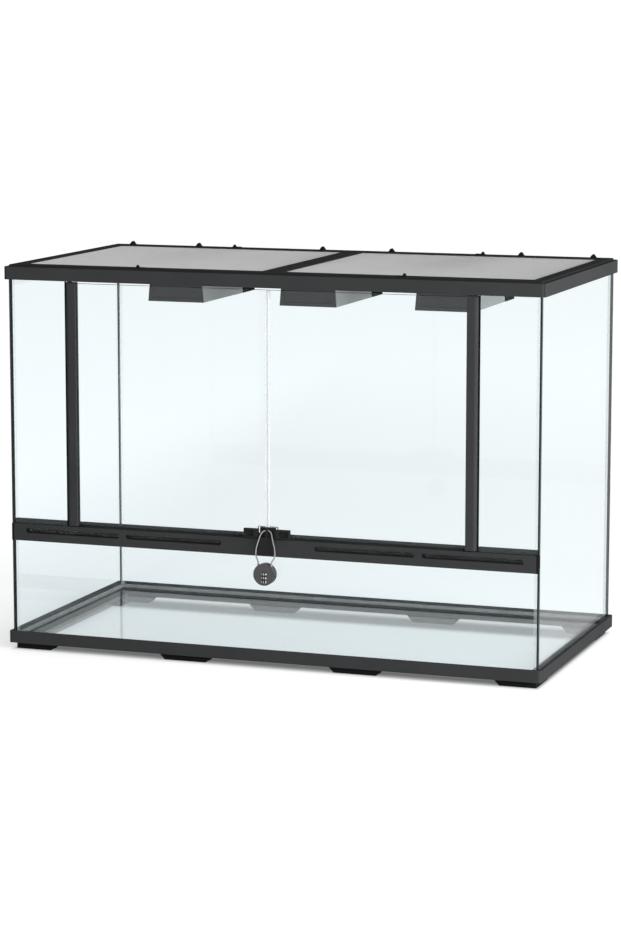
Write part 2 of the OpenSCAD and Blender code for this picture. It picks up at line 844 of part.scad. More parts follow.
module door_strip() {
    color([0.95, 0.95, 0.95, 0.7])
    difference() {
        box([-door_edge - strip_lap, -half_d - strip_t, notch_top], [-door_edge + strip_t, -inner_y + strip_t, door_top]);
        box([-door_edge - strip_lap - cut, -half_d, notch_top - cut], [-door_edge, -inner_y, door_top + cut]);
    }
}

// Magnet in the lip under the pane; extra deepens the cut for its pocket
module handle_magnet_shape(extra) {
    box([-magnet_x - magnet_l / 2, axis_y - magnet_w / 2, stile_z - extra],
        [-magnet_x + magnet_l / 2, axis_y + magnet_w / 2, stile_z + magnet_t]);
}

module door_handle() {
    x0 = handle_x + handle_w;
    color(plastic)
    difference() {
        union() {
            box([-x0, -handle_front, stile_z], [-handle_x, -half_d, handle_top]);
            // Lip under the pane, clear of the notch
            box([-x0, -half_d, stile_z], [-door_edge - notch_w, -inner_y, door_z]);
        }
        // Finger hollow
        box([-x0 + hollow_wall, -handle_front - cut, stile_z + hollow_wall],
            [-handle_x - handle_ear, -handle_front + hollow_d, handle_top - hollow_wall]);
        // Hole for the padlock's cable
        rod_x(-handle_front + handle_d / 2, lock_hole_z, -handle_x - handle_ear - cut, -handle_x + cut, lock_hole_r);
        handle_magnet_shape(cut);
    }
}

module door_magnet() {
    color(steel) handle_magnet_shape(0);
}

module left_door_glass() {
    door_glass();
}

module left_stile() {
    door_stile();
}

module left_hinge_pins() {
    door_pins();
}

module left_edge_strip() {
    door_strip();
}

module left_handle() {
    door_handle();
}

module left_handle_magnet() {
    door_magnet();
}

module right_door_glass() {
    mirror([1, 0, 0]) door_glass();
}

module right_stile() {
    mirror([1, 0, 0]) door_stile();
}

module right_hinge_pins() {
    mirror([1, 0, 0]) door_pins();
}

module right_edge_strip() {
    mirror([1, 0, 0]) door_strip();
}

module right_handle() {
    mirror([1, 0, 0]) door_handle();
}

module right_handle_magnet() {
    mirror([1, 0, 0]) door_magnet();
}

// Lids

// Plate of the left lid's mesh panel, with its edges inside the rim
module panel_plate() {
    box([-lid_x0 + lid_rim - mesh_grip, -lid_y + lid_rim - mesh_grip, mesh_top - mesh_t],
        [-lid_x1 - lid_rim + mesh_grip, lid_y - lid_rim + mesh_grip, mesh_top]);
}

// Mesh panel of the left lid: bars along the depth in a lower layer, bars along the width in an upper one
module mesh_panel() {
    west = -lid_x0 + lid_rim;
    south = -lid_y + lid_rim;
    width = lid_x0 - lid_x1 - 2 * lid_rim;
    depth = 2 * lid_y - 2 * lid_rim;
    pitch_x = (width - grid_bar) / grid_count;
    pitch_y = (depth - grid_bar) / grid_count;
    bar_t = (mesh_t - grid_gap) / 2;
    low = mesh_top - mesh_t;
    for (i = [0 : grid_count]) {
        x0 = west + i * pitch_x - (i == 0 ? mesh_grip : 0);
        x1 = west + i * pitch_x + grid_bar + (i == grid_count ? mesh_grip : 0);
        box([x0, south - mesh_grip, low], [x1, south + depth + mesh_grip, low + bar_t]);
        y0 = south + i * pitch_y - (i == 0 ? mesh_grip : 0);
        y1 = south + i * pitch_y + grid_bar + (i == grid_count ? mesh_grip : 0);
        box([west - mesh_grip, y0, mesh_top - bar_t], [west + width + mesh_grip, y1, mesh_top]);
    }
}

module lid_frame() {
    color(plastic)
    difference() {
        box([-lid_x0, -lid_y, ledge_top], [-lid_x1, lid_y, lip_z]);
        box([-lid_x0 + lid_rim, -lid_y + lid_rim, ledge_top - cut], [-lid_x1 - lid_rim, lid_y - lid_rim, lip_z + cut]);
        panel_plate();
    }
}

module left_lid_frame() {
    lid_frame();
}

module left_lid_mesh() {
    color(mesh_grey) mesh_panel();
}

module right_lid_frame() {
    mirror([1, 0, 0]) lid_frame();
}

module right_lid_mesh() {
    color(mesh_grey) mirror([1, 0, 0]) mesh_panel();
}

// Turning catch at the front left, with its tongue along +X, off the lid
module lid_catch() {
    tip_r = catch_r - 2;
    color(plastic)
    translate([-catch_x, -catch_y, lip_z + catch_lift]) {
        cylinder(r = catch_r, h = catch_t);
        box([0, -tip_r, 0], [catch_reach - tip_r, tip_r, catch_t]);
        translate([catch_reach - tip_r, 0, 0]) cylinder(r = tip_r, h = catch_t);
        // Finger grip, narrow at its top
        translate([0, 0, catch_t])
            along_y(-catch_r / 3, catch_r / 3)
                polygon([[0.5 - catch_r, -catch_t / 2], [catch_r - 0.5, -catch_t / 2],
                         [catch_r / 3, catch_grip_h], [-catch_r / 3, catch_grip_h]]);
        translate([0, 0, catch_t - catch_pin_l]) cylinder(r = catch_pin_r, h = catch_pin_l);
    }
}

module front_left_catch() {
    lid_catch();
}

module front_right_catch() {
    mirror([1, 0, 0]) lid_catch();
}

module rear_left_catch() {
    mirror([0, 1, 0]) lid_catch();
}

module rear_right_catch() {
    mirror([1, 0, 0]) mirror([0, 1, 0]) lid_catch();
}

// Cable inlets

module inlet_slider(x) {
    half = slider_l / 2;
    color(plastic)
    translate([x, slider_y, 0]) {
        box([-half, -slider_w / 2, slider_z], [half, slider_w / 2, slider_step]);
        box([-half, -ridge_w / 2, slider_step], [half, ridge_w / 2, lip_z]);
        for (p = [-peak_x, peak_x])
            translate([p, 0, lip_z])
                along_y(-ridge_w / 2, ridge_w / 2)
                    polygon([[-peak_w / 2, 0], [peak_w / 2, 0], [peak_w / 12, peak_h], [-peak_w / 12, peak_h]]);
    }
}

module left_inlet_slider() {
    inlet_slider(-slider_x);
}

module middle_inlet_slider() {
    inlet_slider(0);
}

module right_inlet_slider() {
    inlet_slider(slider_x);
}

// Lamp hoods

// Half the width of a hood at height z
function hood_half(z) = hood_w / 2 - (hood_w - hood_top_w) / 2 * (z - hood_z) / hood_h;

// Distance of a hood's screws from its middle; the middle hood's ears are longer
function screw_reach(x) = x == 0 ? middle_screw_x : outer_screw_x;

// Outline of a hood between two heights, with its sides drawn in by inset
module hood_outline(inset, z0, z1) {
    low = hood_half(z0) - inset;
    high = hood_half(z1) - inset;
    polygon([[-low, z0], [low, z0], [high, z1], [-high, z1]]);
}

module hood_shell(x) {
    color(hood_grey)
    translate([x, 0, 0])
        difference() {
            along_y(hood_front, hood_rear) hood_outline(0, hood_z, hood_top);
            along_y(hood_front - cut, hood_rear + cut) hood_outline(hood_t, hood_z - cut, hood_top - hood_t);
        }
}

module left_hood_shell() {
    hood_shell(-hood_pitch);
}

module middle_hood_shell() {
    hood_shell(0);
}

module right_hood_shell() {
    hood_shell(hood_pitch);
}

module hood_front_caps() {
    color(plastic)
    for (x = hood_xs)
        translate([x, 0, 0])
            difference() {
                along_y(hood_front - cap_l, hood_front) hood_outline(0, hood_z, hood_top);
                // Shallow panel inside the rim
                along_y(hood_front - cap_l - cut, hood_front - cap_l / 2)
                    hood_outline(cap_rim, hood_z + cap_rim, hood_top - cap_rim);
            }
}

module hood_rear_boxes() {
    color(plastic)
    for (x = hood_xs) {
        screw_x = screw_reach(x);
        translate([x, 0, 0]) {
            difference() {
                along_y(hood_rear, well_y) hood_outline(0, hood_z, hood_top);
                along_y(hood_rear + box_t, well_y - box_t)
                    hood_outline(box_t, hood_z + box_t, hood_top - box_t);
            }
            // Fixing ears on the rear beam
            difference() {
                box([-screw_x - ear_w / 2, well_y - ear_t, ear_z - ear_h], [screw_x + ear_w / 2, well_y, ear_z]);
                for (side = [-1, 1])
                    rod_y(side * screw_x, screw_z, well_y - ear_t - cut, well_y + cut, screw_r + run_fit);
            }
        }
    }
}

// Puts its children at the place of every fixing screw
module bracket_screw_places() {
    for (x = hood_xs, side = [-1, 1])
        translate([x + side * screw_reach(x), 0, screw_z]) children();
}

module bracket_screws() {
    head_y = well_y - ear_t;
    color(steel)
    bracket_screw_places() {
        rod_y(0, 0, head_y - screw_head_h, head_y, screw_head_r);
        rod_y(0, 0, head_y, well_y + screw_l - pin_tip, screw_r);
    }
}

module lampholders() {
    color(lamp_white)
    for (x = hood_xs)
        difference() {
            rod_y(x, lamp_z, hood_rear - holder_l, hood_rear, holder_r);
            rod_y(x, lamp_z, hood_rear - holder_l - cut, hood_rear - holder_wall, lamp_cap_r + run_fit);
        }
}

module lamps() {
    body_y = hood_rear - holder_l - lamp_body_l;
    tip_y = body_y - tube_l;
    color(lamp_white)
    for (x = hood_xs) {
        rod_y(x, lamp_z, body_y, lamp_start, lamp_cap_r);
        rod_y(x, lamp_z, body_y, body_y + lamp_body_l, lamp_body_r);
        for (sx = [-1, 1]) {
            for (sz = [-1, 1]) {
                rod_y(x + sx * tube_x, lamp_z + sz * tube_x, tip_y, body_y + lamp_body_l / 2, tube_r);
                translate([x + sx * tube_x, tip_y, lamp_z + sz * tube_x]) sphere(r = tube_r);
            }
            // Bend that joins the upper and lower tube
            translate([x + sx * tube_x, tip_y, lamp_z - tube_x]) cylinder(r = tube_r, h = 2 * tube_x);
        }
    }
}

// Padlock

// Hollows in the lock's body for the dials, the axle and the ferrules
module lock_hollows() {
    for (z = dial_zs)
        translate([0, lock_y, z - dial_t / 2 - dial_gap / 2])
            cylinder(r = dial_r + dial_gap, h = dial_t + dial_gap);
    translate([0, lock_y, dials_z - axle_l / 2]) cylinder(r = axle_r + run_fit, h = axle_l);
    for (side = [-1, 1])
        translate([side * ferrule_x, lock_y, ferrule_top - ferrule_l])
            cylinder(r = ferrule_r + run_fit, h = ferrule_l + cut);
}

module lock_front_shell() {
    color(dark_plastic)
    difference() {
        rod_y(0, lock_z, lock_y - lock_front_t, lock_y, lock_r);
        lock_hollows();
    }
}

module lock_rear_shell() {
    color(dark_plastic)
    difference() {
        rod_y(0, lock_z, lock_y, lock_y + lock_rear_t, lock_r);
        lock_hollows();
    }
}

module dial(z) {
    color(plastic)
    translate([0, lock_y, z - dial_t / 2])
        difference() {
            cylinder(r = dial_r, h = dial_t);
            translate([0, 0, -cut]) cylinder(r = axle_r + run_fit, h = dial_t + 2 * cut);
        }
}

module upper_dial() {
    dial(dial_zs[0]);
}

module middle_dial() {
    dial(dial_zs[1]);
}

module lower_dial() {
    dial(dial_zs[2]);
}

module dial_axle() {
    color(steel) translate([0, lock_y, dials_z - axle_l / 2]) cylinder(r = axle_r, h = axle_l);
}

module cable_ferrules() {
    color(steel)
    for (side = [-1, 1])
        translate([side * ferrule_x, lock_y, ferrule_top - ferrule_l]) cylinder(r = ferrule_r, h = ferrule_l);
}

// Direction of the route at point i; both ends stand upright on the ferrules
function route_heading(route, i) =
    i == 0 ? [0, 0, 1]
    : i == len(route) - 1 ? [0, 0, -1]
    : let (step = route[i + 1] - route[i - 1]) step / norm(step);

// Ring of points round point i, square to the route
function route_ring(route, i, r, sides) =
    let (
        ahead = route_heading(route, i),
        across = cross(ahead, [0, 1, 0]),
        u = across / norm(across),
        v = cross(ahead, u)
    )
    [for (k = [0 : sides - 1]) route[i] + r * (cos(360 * k / sides) * u + sin(360 * k / sides) * v)];

// Closed tube along a route
module tube(route, r, sides) {
    rings = len(route);
    points = [for (i = [0 : rings - 1]) each route_ring(route, i, r, sides)];
    walls = [
        for (i = [0 : rings - 2], k = [0 : sides - 1])
            let (a = i * sides + k, b = i * sides + (k + 1) % sides)
            each [[a, a + sides, b + sides], [a, b + sides, b]]
    ];
    first = [for (k = [0 : sides - 1]) k];
    last = [for (k = [sides - 1 : -1 : 0]) (rings - 1) * sides + k];
    polyhedron(points, concat(walls, [first, last]));
}

module lock_cable() {
    color(steel) translate([0, staple_y, staple_z]) tube(cable_route, cable_d / 2, 8);
}

base_frame();
corner_feet();
middle_feet();
floor_glass();
left_glass();
right_glass();
rear_glass();
front_lower_glass();
left_sidelight_glass();
right_sidelight_glass();
corner_silicone();
floor_silicone();
vent_rail();
rail_end_caps();
vent_mesh_strips();
catch_block();
rail_magnets();
top_frame();
centre_bar();
hinge_bushes();
sidelight_seals();
left_hood_shell();
middle_hood_shell();
right_hood_shell();
hood_front_caps();
hood_rear_boxes();
lampholders();
lamps();
bracket_screws();
left_door_glass();
left_stile();
left_hinge_pins();
left_edge_strip();
left_handle();
left_handle_magnet();
right_door_glass();
right_stile();
right_hinge_pins();
right_edge_strip();
right_handle();
right_handle_magnet();
left_lid_frame();
left_lid_mesh();
right_lid_frame();
right_lid_mesh();
front_left_catch();
front_right_catch();
rear_left_catch();
rear_right_catch();
left_inlet_slider();
middle_inlet_slider();
right_inlet_slider();
lock_front_shell();
lock_rear_shell();
upper_dial();
middle_dial();
lower_dial();
dial_axle();
lock_cable();
cable_ferrules();
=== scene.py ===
import json
import math

import bmesh
import bpy
from bpy.props import FloatProperty, FloatVectorProperty, IntProperty, PointerProperty
from mathutils import Matrix, Vector

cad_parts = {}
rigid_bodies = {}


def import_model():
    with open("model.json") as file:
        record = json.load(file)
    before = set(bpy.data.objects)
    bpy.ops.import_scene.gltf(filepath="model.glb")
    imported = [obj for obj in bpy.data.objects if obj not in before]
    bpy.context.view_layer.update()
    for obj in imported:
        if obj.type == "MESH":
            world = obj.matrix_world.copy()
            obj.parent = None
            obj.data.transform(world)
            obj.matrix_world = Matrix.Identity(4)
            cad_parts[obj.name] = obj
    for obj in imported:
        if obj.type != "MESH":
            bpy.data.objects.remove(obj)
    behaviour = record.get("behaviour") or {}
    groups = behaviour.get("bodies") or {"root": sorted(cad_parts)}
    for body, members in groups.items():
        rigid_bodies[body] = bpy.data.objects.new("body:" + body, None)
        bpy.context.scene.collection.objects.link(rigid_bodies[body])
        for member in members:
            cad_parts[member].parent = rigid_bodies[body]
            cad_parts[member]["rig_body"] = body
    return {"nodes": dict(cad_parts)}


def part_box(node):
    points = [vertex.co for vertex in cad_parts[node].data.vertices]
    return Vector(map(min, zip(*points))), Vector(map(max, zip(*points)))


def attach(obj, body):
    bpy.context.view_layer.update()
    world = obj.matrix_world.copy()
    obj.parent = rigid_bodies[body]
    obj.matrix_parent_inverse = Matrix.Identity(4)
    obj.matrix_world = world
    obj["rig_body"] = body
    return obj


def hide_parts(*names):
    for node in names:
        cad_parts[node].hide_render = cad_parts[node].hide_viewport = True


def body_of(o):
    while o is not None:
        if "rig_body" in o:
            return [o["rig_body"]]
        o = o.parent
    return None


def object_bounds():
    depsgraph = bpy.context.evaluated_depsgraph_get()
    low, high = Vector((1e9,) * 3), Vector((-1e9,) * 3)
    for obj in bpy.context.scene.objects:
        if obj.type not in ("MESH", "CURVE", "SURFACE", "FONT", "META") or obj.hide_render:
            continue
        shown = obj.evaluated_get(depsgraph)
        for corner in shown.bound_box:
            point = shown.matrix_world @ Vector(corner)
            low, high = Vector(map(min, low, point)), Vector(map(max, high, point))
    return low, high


bl_info = {
    "name": "Glass terrarium",
    "version": (1, 0, 0),
    "blender": (4, 5, 0),
    "location": "3D view, sidebar, Terrarium",
    "description": "Dresses a packed glass terrarium with its plastic, glass, mesh, sheet metal and padlock",
    "category": "Object",
}

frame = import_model()
cad_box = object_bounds()

MM = 0.001
WELD = 0.002 * MM
EDGE_MARK = "edge"


# Sizes and colours

def length(name, text, default, lowest=0.0):
    """A length that a user may change."""
    return FloatProperty(name=name, description=text, default=default, min=lowest, unit="LENGTH", precision=5)


def colour(name, text, default):
    """A colour that a user may change."""
    return FloatVectorProperty(name=name, description=text, default=default, subtype="COLOR", size=3,
                               min=0, max=1)


class TerrariumSizes(bpy.types.PropertyGroup):
    """Sizes of what is added to the frame."""
    frame_round: length("Frame edges", "Rounding of the edges of the large mouldings", 0.9 * MM)
    fitting_round: length("Fitting edges", "Rounding of the edges of small mouldings", 0.45 * MM)
    peak_round: length("Peak edges", "Rounding of the edges of lid catches and inlet sliders", 0.25 * MM)
    sheet_round: length("Sheet edges", "Rounding of the edges of the sheet metal", 0.3 * MM)
    pane_arris: length("Pane arris", "Width of the ground arris round each pane", 0.45 * MM)
    bead_leg: length("Bead leg", "Leg of the silicone bead in a corner", 5 * MM)
    bead_sag: length("Bead hollow", "How far the tool has hollowed the bead", 0.8 * MM)
    lid_pitch: length("Lid mesh pitch", "Distance between two wires of the lid mesh", 1.1 * MM, 0.5 * MM)
    lid_wire: length("Lid mesh wire", "Diameter of a wire of the lid mesh", 0.33 * MM, 0.1 * MM)
    vent_pitch: length("Vent mesh pitch", "Distance between two wires behind a vent slot", 0.7 * MM, 0.5 * MM)
    vent_wire: length("Vent mesh wire", "Diameter of a wire behind a vent slot", 0.6 * MM, 0.1 * MM)
    cable_width: length("Cable", "Diameter of the padlock's cable", 2.4 * MM)
    strands: IntProperty(name="Strands", description="Outer strands of the cable", default=7, min=3)
    strand_lay: length("Strand lay", "Length in which a strand goes once round the cable", 14 * MM)
    knurls: IntProperty(name="Knurls", description="Notches round a dial", default=40, min=10)
    digit_height: length("Digit height", "Height of a number on a dial", 4.1 * MM)
    thread_pitch: length("Lamp thread", "Pitch of the thread on a lamp's cap", 3.6 * MM)


class TerrariumColours(bpy.types.PropertyGroup):
    """Colours of the finishes."""
    plastic: colour("Frame plastic", "Black moulded plastic of the frame", (0.038, 0.039, 0.040))
    # Darker black of the catch block and the handles, also used as painted shade on the rims and the top
    matt: colour("Matt plastic", "Deeper black of the rims, the top, the catch block and the handles",
                 (0.021, 0.0215, 0.022))
    rubber: colour("Dark plastic", "Matt black of the feet and caps", (0.012, 0.012, 0.012))
    glass: colour("Glass", "Light left by one face of a pane", (0.959, 0.978, 0.983))
    glass_edge: colour("Glass edge", "Colour in the cut edge of a pane", (0.010, 0.022, 0.020))
    bond: colour("Bond", "Black silicone between two panes", (0.010, 0.010, 0.011))
    silicone: colour("Silicone", "Milky silicone of the beads", (0.95, 0.96, 0.96))
    # The doors' meeting edges are painted pale, as light that runs through the glass
    backlit: colour("Polished edge", "Pale polished edge of the doors", (0.84, 0.90, 0.89))
    strip: colour("Edge strip", "Milky plastic strip on a door's edge", (0.91, 0.92, 0.92))
    wire: colour("Woven wire", "Grey wire of the lid meshes", (0.48, 0.48, 0.48))
    vent: colour("Vent wire", "Black wire behind the vent slots", (0.012, 0.012, 0.012))
    steel: colour("Steel", "Bright steel", (0.66, 0.66, 0.67))
    cable: colour("Cable", "Grey drawn steel of the cable and its ferrules", (0.40, 0.40, 0.41))
    hood: colour("Hood", "Grey painted sheet of the hoods", (0.245, 0.245, 0.245))
    hood_cap: colour("Hood cap", "Darker cap at the front of a hood", (0.040, 0.040, 0.040))
    ceramic: colour("Ceramic", "White of the lampholders", (0.80, 0.79, 0.75))
    lamp: colour("Lamp", "Opal white of the lamps", (0.86, 0.86, 0.83))
    lock: colour("Padlock", "Black lacquer of the padlock", (0.040, 0.040, 0.042))
    digit: colour("Digits", "Numbers on the dials", (0.90, 0.90, 0.88))


# Node trees

class Value:
    """A socket of a node tree that takes part in Python arithmetic."""

    def __init__(self, nodes, socket):
        self.nodes = nodes
        self.socket = socket

    def worked(self, operation, first, second):
        """The node that works out two values, for vectors if one of them is a vector."""
        several = any(isinstance(x, Value) and x.socket.type == "VECTOR" for x in (first, second))
        kind = "ShaderNodeVectorMath" if several else "ShaderNodeMath"
        return self.nodes.add(kind, {"operation": operation}, {0: first, 1: second})

    def __add__(self, other):
        return self.worked("ADD", self, other)

    def __sub__(self, other):
        return self.worked("SUBTRACT", self, other)

    def __rsub__(self, other):
        return self.worked("SUBTRACT", other, self)

    def __mul__(self, other):
        return self.worked("MULTIPLY", self, other)

    def __truediv__(self, other):
        return self.worked("DIVIDE", self, other)

    def __pow__(self, other):
        return self.worked("POWER", self, other)

    __radd__ = __add__
    __rmul__ = __mul__


class Nodes:
    """A node tree under construction."""

    def __init__(self, tree):
        self.tree = tree

    def put(self, value, socket):
        """Link a value to a socket, or set the socket to it."""
        if isinstance(value, Value):
            self.tree.links.new(value.socket, socket)
        elif isinstance(value, (tuple, Vector)) and socket.type == "RGBA":
            socket.default_value = (*value[:3], 1)
        else:
            socket.default_value = value

    def add(self, kind, settings=None, inputs=None, output=0):
        """Add a node: its settings first, then the values or links of its sockets."""
        node = self.tree.nodes.new(kind)
        for name, value in (settings or {}).items():
            if name != "stops":
                setattr(node, name, value)
                continue
            ramp = node.color_ramp
            while len(ramp.elements) < len(value):
                ramp.elements.new(0.5)
            for element, (place, shade) in zip(ramp.elements, value):
                element.position = place
                element.color = (shade, shade, shade, 1)
        for name, value in (inputs or {}).items():
            self.put(value, node.inputs[name])
        return Value(self, node.outputs[output])


class Finish(Nodes):
    """A material built from nodes, on Object coordinates."""

    def __init__(self, name):
        self.material = bpy.data.materials.new(name)
        self.material.use_nodes = True
        super().__init__(self.material.node_tree)
        self.tree.nodes.clear()
        self.end = self.tree.nodes.new("ShaderNodeOutputMaterial")
        self.place = self.add("ShaderNodeTexCoord", output="Object")

    def noise(self, scale, detail=3, roughness=0.5, stretch=None):
        """Noise from 0 to 1; stretch slows it along an axis."""
        place = self.place * stretch if stretch else self.place
        return self.add("ShaderNodeTexNoise", None,
                        {"Vector": place, "Scale": scale, "Detail": detail, "Roughness": roughness})

    def ramp(self, value, *stops):
        """A grey ramp over a value."""
        return self.add("ShaderNodeValToRGB", {"stops": stops}, {0: value})

    def blend(self, low, high, factor):
        """Mix of two colours."""
        return self.add("ShaderNodeMix", {"data_type": "RGBA"}, {0: factor, 6: low, 7: high}, 2)

    def edge(self):
        """1 on the rounded edges of a piece, else 0."""
        return self.add("ShaderNodeAttribute", {"attribute_name": EDGE_MARK}, None, "Fac")

    def bump(self, height, strength, distance):
        """A normal from a height."""
        return self.add("ShaderNodeBump", None,
                        {"Height": height, "Strength": strength, "Distance": distance})

    def body(self, **inputs):
        """The main shader, with spaces written as underscores."""
        return self.add("ShaderNodeBsdfPrincipled", None,
                        {name.replace("_", " "): value for name, value in inputs.items()})

    def done(self, shader):
        """Join the shader to the output."""
        self.put(shader, self.end.inputs["Surface"])
        return self.material


def tint(shade, amount):
    """A colour made lighter or darker."""
    return tuple(min(1, channel * amount) for channel in shade)


# Finishes

# Light that a polished edge and milky silicone let through
THROUGH_EDGE = (0.93, 0.98, 0.97)
THROUGH_SILICONE = (0.97, 0.985, 0.99)


def moulded(name, shade, grain, rough, wear_and_highlight, gloss):
    """Moulded plastic with a fine grain and handling marks; its edges are lighter, partly from wear and
    partly as a painted highlight on the rounding.
    """
    finish = Finish(name)
    patches = finish.noise(9, 4)
    marks = finish.ramp(finish.noise(60, 5, 0.6, (1, 1, 0.25)), (0.5, 0), (0.75, 1))
    # Lighter edges: partly wear, partly a painted highlight along the rounding
    wear_and_highlight_mask = finish.edge() * finish.ramp(finish.noise(35, 4), (0.35, 0.35), (0.7, 1))
    base = finish.blend(tint(shade, 0.85), tint(shade, 1.2), patches)
    colour_now = finish.blend(base, tint(shade, wear_and_highlight), wear_and_highlight_mask)
    height = finish.noise(1500, 2) + finish.noise(420, 2) * 0.6
    return finish.done(finish.body(
        Base_Color=colour_now,
        Roughness=patches * 0.1 + (rough - 0.05) - wear_and_highlight_mask * 0.06 + marks * 0.05,
        Normal=finish.bump(height, grain, 0.05 * MM),
        Specular_IOR_Level=gloss,
    ))


def frame_plastic(colours):
    """Satin black of the frame."""
    return moulded("frame plastic", colours.plastic, grain=0.35, rough=0.7, wear_and_highlight=1.6, gloss=0.003)


def darker_plastic_with_top_shade(colours):
    """Darker black of the catch block and the handles; on the lid rims, the centre bar and the top's upward
    and inner faces it is painted shade.
    """
    return moulded("matt plastic", colours.matt, grain=0.45, rough=0.75, wear_and_highlight=1.6, gloss=0.003)


def dark_plastic(colours):
    """Matt black of feet, caps and bushes."""
    return moulded("dark plastic", colours.rubber, grain=0.5, rough=0.75, wear_and_highlight=1.7, gloss=0.003)


def pane_face(colours):
    """Clear float glass: what is behind it, dimmed a little, under a reflection that grows at a slant."""
    finish = Finish("pane face")
    facing = finish.add("ShaderNodeLayerWeight", None, {"Blend": 0.5}, "Facing")
    smears = finish.ramp(finish.noise(11, 5, 0.6), (0.45, 0), (0.8, 1))
    through = finish.add("ShaderNodeBsdfTransparent", None, {"Color": colours.glass[:]})
    shine = finish.add("ShaderNodeBsdfAnisotropic", None, {"Color": (1, 1, 1), "Roughness": 0.02})
    share = facing ** 5 * 0.45 + smears * 0.004 + 0.011
    return finish.done(finish.add("ShaderNodeMixShader", None, {0: share, 1: through, 2: shine}))


def pane_edge(colours):
    """Ground edge of a pane, dark green in its depth."""
    finish = Finish("pane edge")
    ripple = finish.noise(300, 3)
    return finish.done(finish.body(
        Base_Color=finish.blend(colours.glass_edge[:], tint(colours.glass_edge, 1.8), finish.noise(40, 3)),
        Roughness=ripple * 0.15 + 0.22,
        Normal=finish.bump(ripple, 0.2, 0.05 * MM),
        Specular_IOR_Level=0.12,
    ))


def door_edge(colours):
    """Polished edge where the doors meet, pale where light runs through it."""
    finish = Finish("door edge")
    cloud = finish.noise(60, 3, 0.5, (1, 1, 0.2))
    surface = finish.body(
        # Pale colour stands for light running through the edge: painted light
        Base_Color=finish.blend(tint(colours.backlit, 0.9), colours.backlit[:], cloud),
        Roughness=cloud * 0.1 + 0.1,
    )
    through = finish.add("ShaderNodeBsdfTransparent", None, {"Color": THROUGH_EDGE})
    share = cloud * 0.2 + 0.35
    return finish.done(finish.add("ShaderNodeMixShader", None, {0: share, 1: through, 2: surface}))


def bond_silicone(colours):
    """Black silicone that holds the panes."""
    finish = Finish("bond silicone")
    return finish.done(finish.body(
        Base_Color=finish.blend(colours.bond[:], tint(colours.bond, 1.7), finish.noise(90, 3)),
        Roughness=finish.noise(140, 2) * 0.2 + 0.35,
        Normal=finish.bump(finish.noise(260, 3), 0.3, 0.1 * MM),
        Specular_IOR_Level=0.12,
    ))


def milky(name, shade, cover, rough):
    """Milky see-through silicone or plastic."""
    finish = Finish(name)
    cloud = finish.noise(70, 4, 0.6, (1, 1, 0.15))
    surface = finish.body(
        Base_Color=finish.blend(tint(shade, 0.97), shade[:], cloud),
        Roughness=cloud * 0.2 + rough,
        Normal=finish.bump(finish.noise(160, 3, 0.5, (1, 1, 0.2)), 0.25, 0.1 * MM),
    )
    through = finish.add("ShaderNodeBsdfTransparent", None, {"Color": THROUGH_SILICONE})
    share = cloud * 0.16 + (cover - 0.08)
    return finish.done(finish.add("ShaderNodeMixShader", None, {0: share, 1: through, 2: surface}))


def bead_silicone(colours):
    """Silicone beads in the corners."""
    return milky("bead silicone", colours.silicone, cover=0.15, rough=0.25)


def strip_plastic(colours):
    """Milky strips on the edges of the doors."""
    return milky("strip plastic", colours.strip, cover=0.62, rough=0.3)


def wire_coat(name, shade, metal, gloss):
    """Coated wire, a little uneven in tone."""
    finish = Finish(name)
    cloud = finish.noise(25, 4)
    return finish.done(finish.body(
        Base_Color=finish.blend(tint(shade, 0.92), tint(shade, 1.06), cloud),
        Metallic=metal,
        Roughness=finish.noise(900, 2) * 0.15 + 0.42,
        Specular_IOR_Level=gloss,
    ))


def woven_wire(colours):
    """Grey wire of the lids."""
    return wire_coat("woven wire", colours.wire, metal=0.35, gloss=0.5)


def vent_wire(colours):
    """Black wire of the vents."""
    return wire_coat("vent wire", colours.vent, metal=0.0, gloss=0.02)


def brushed(name, shade, rough, stretch=None):
    """Bare metal with fine drawn lines."""
    finish = Finish(name)
    lines = finish.noise(1800, 3, 0.6, stretch)
    cloud = finish.noise(50, 4)
    return finish.done(finish.body(
        Base_Color=finish.blend(tint(shade, 0.86), tint(shade, 1.06), cloud),
        Metallic=1.0,
        Roughness=lines * 0.16 + (rough - 0.08),
        Normal=finish.bump(lines, 0.15, 0.02 * MM),
    ))


def bright_steel(colours):
    """Turned and drawn steel of pins, screws and magnets."""
    return brushed("bright steel", colours.steel, rough=0.28, stretch=(1, 1, 0.1))


def cable_steel(colours):
    """Steel strands of the padlock's cable."""
    return brushed("cable steel", colours.cable, rough=0.3)


def painted(name, shade, rough, wear_and_highlight):
    """Painted sheet with a fine orange peel and dust; its edges are lighter, partly from wear and partly as a
    painted highlight on the rounding.
    """
    finish = Finish(name)
    cloud = finish.noise(14, 4)
    # Lighter edges: partly wear, partly a painted highlight along the rounding
    wear_and_highlight_mask = finish.edge() * finish.ramp(finish.noise(70, 5), (0.45, 0.1), (0.7, 0.8))
    base = finish.blend(tint(shade, 0.92), tint(shade, 1.08), cloud)
    return finish.done(finish.body(
        Base_Color=finish.blend(base, tint(shade, wear_and_highlight), wear_and_highlight_mask),
        Roughness=cloud * 0.12 + (rough - 0.06),
        Normal=finish.bump(finish.noise(650, 2), 0.22, 0.05 * MM),
    ))


def hood_sheet(colours):
    """Grey sheet of the hoods."""
    return painted("hood sheet", colours.hood, rough=0.42, wear_and_highlight=1.5)


def hood_cap(colours):
    """Darker caps of the hoods."""
    return painted("hood cap", colours.hood_cap, rough=0.5, wear_and_highlight=1.6)


def lock_lacquer(colours):
    """Black lacquer of the padlock."""
    return painted("lock lacquer", colours.lock, rough=0.3, wear_and_highlight=2.6)


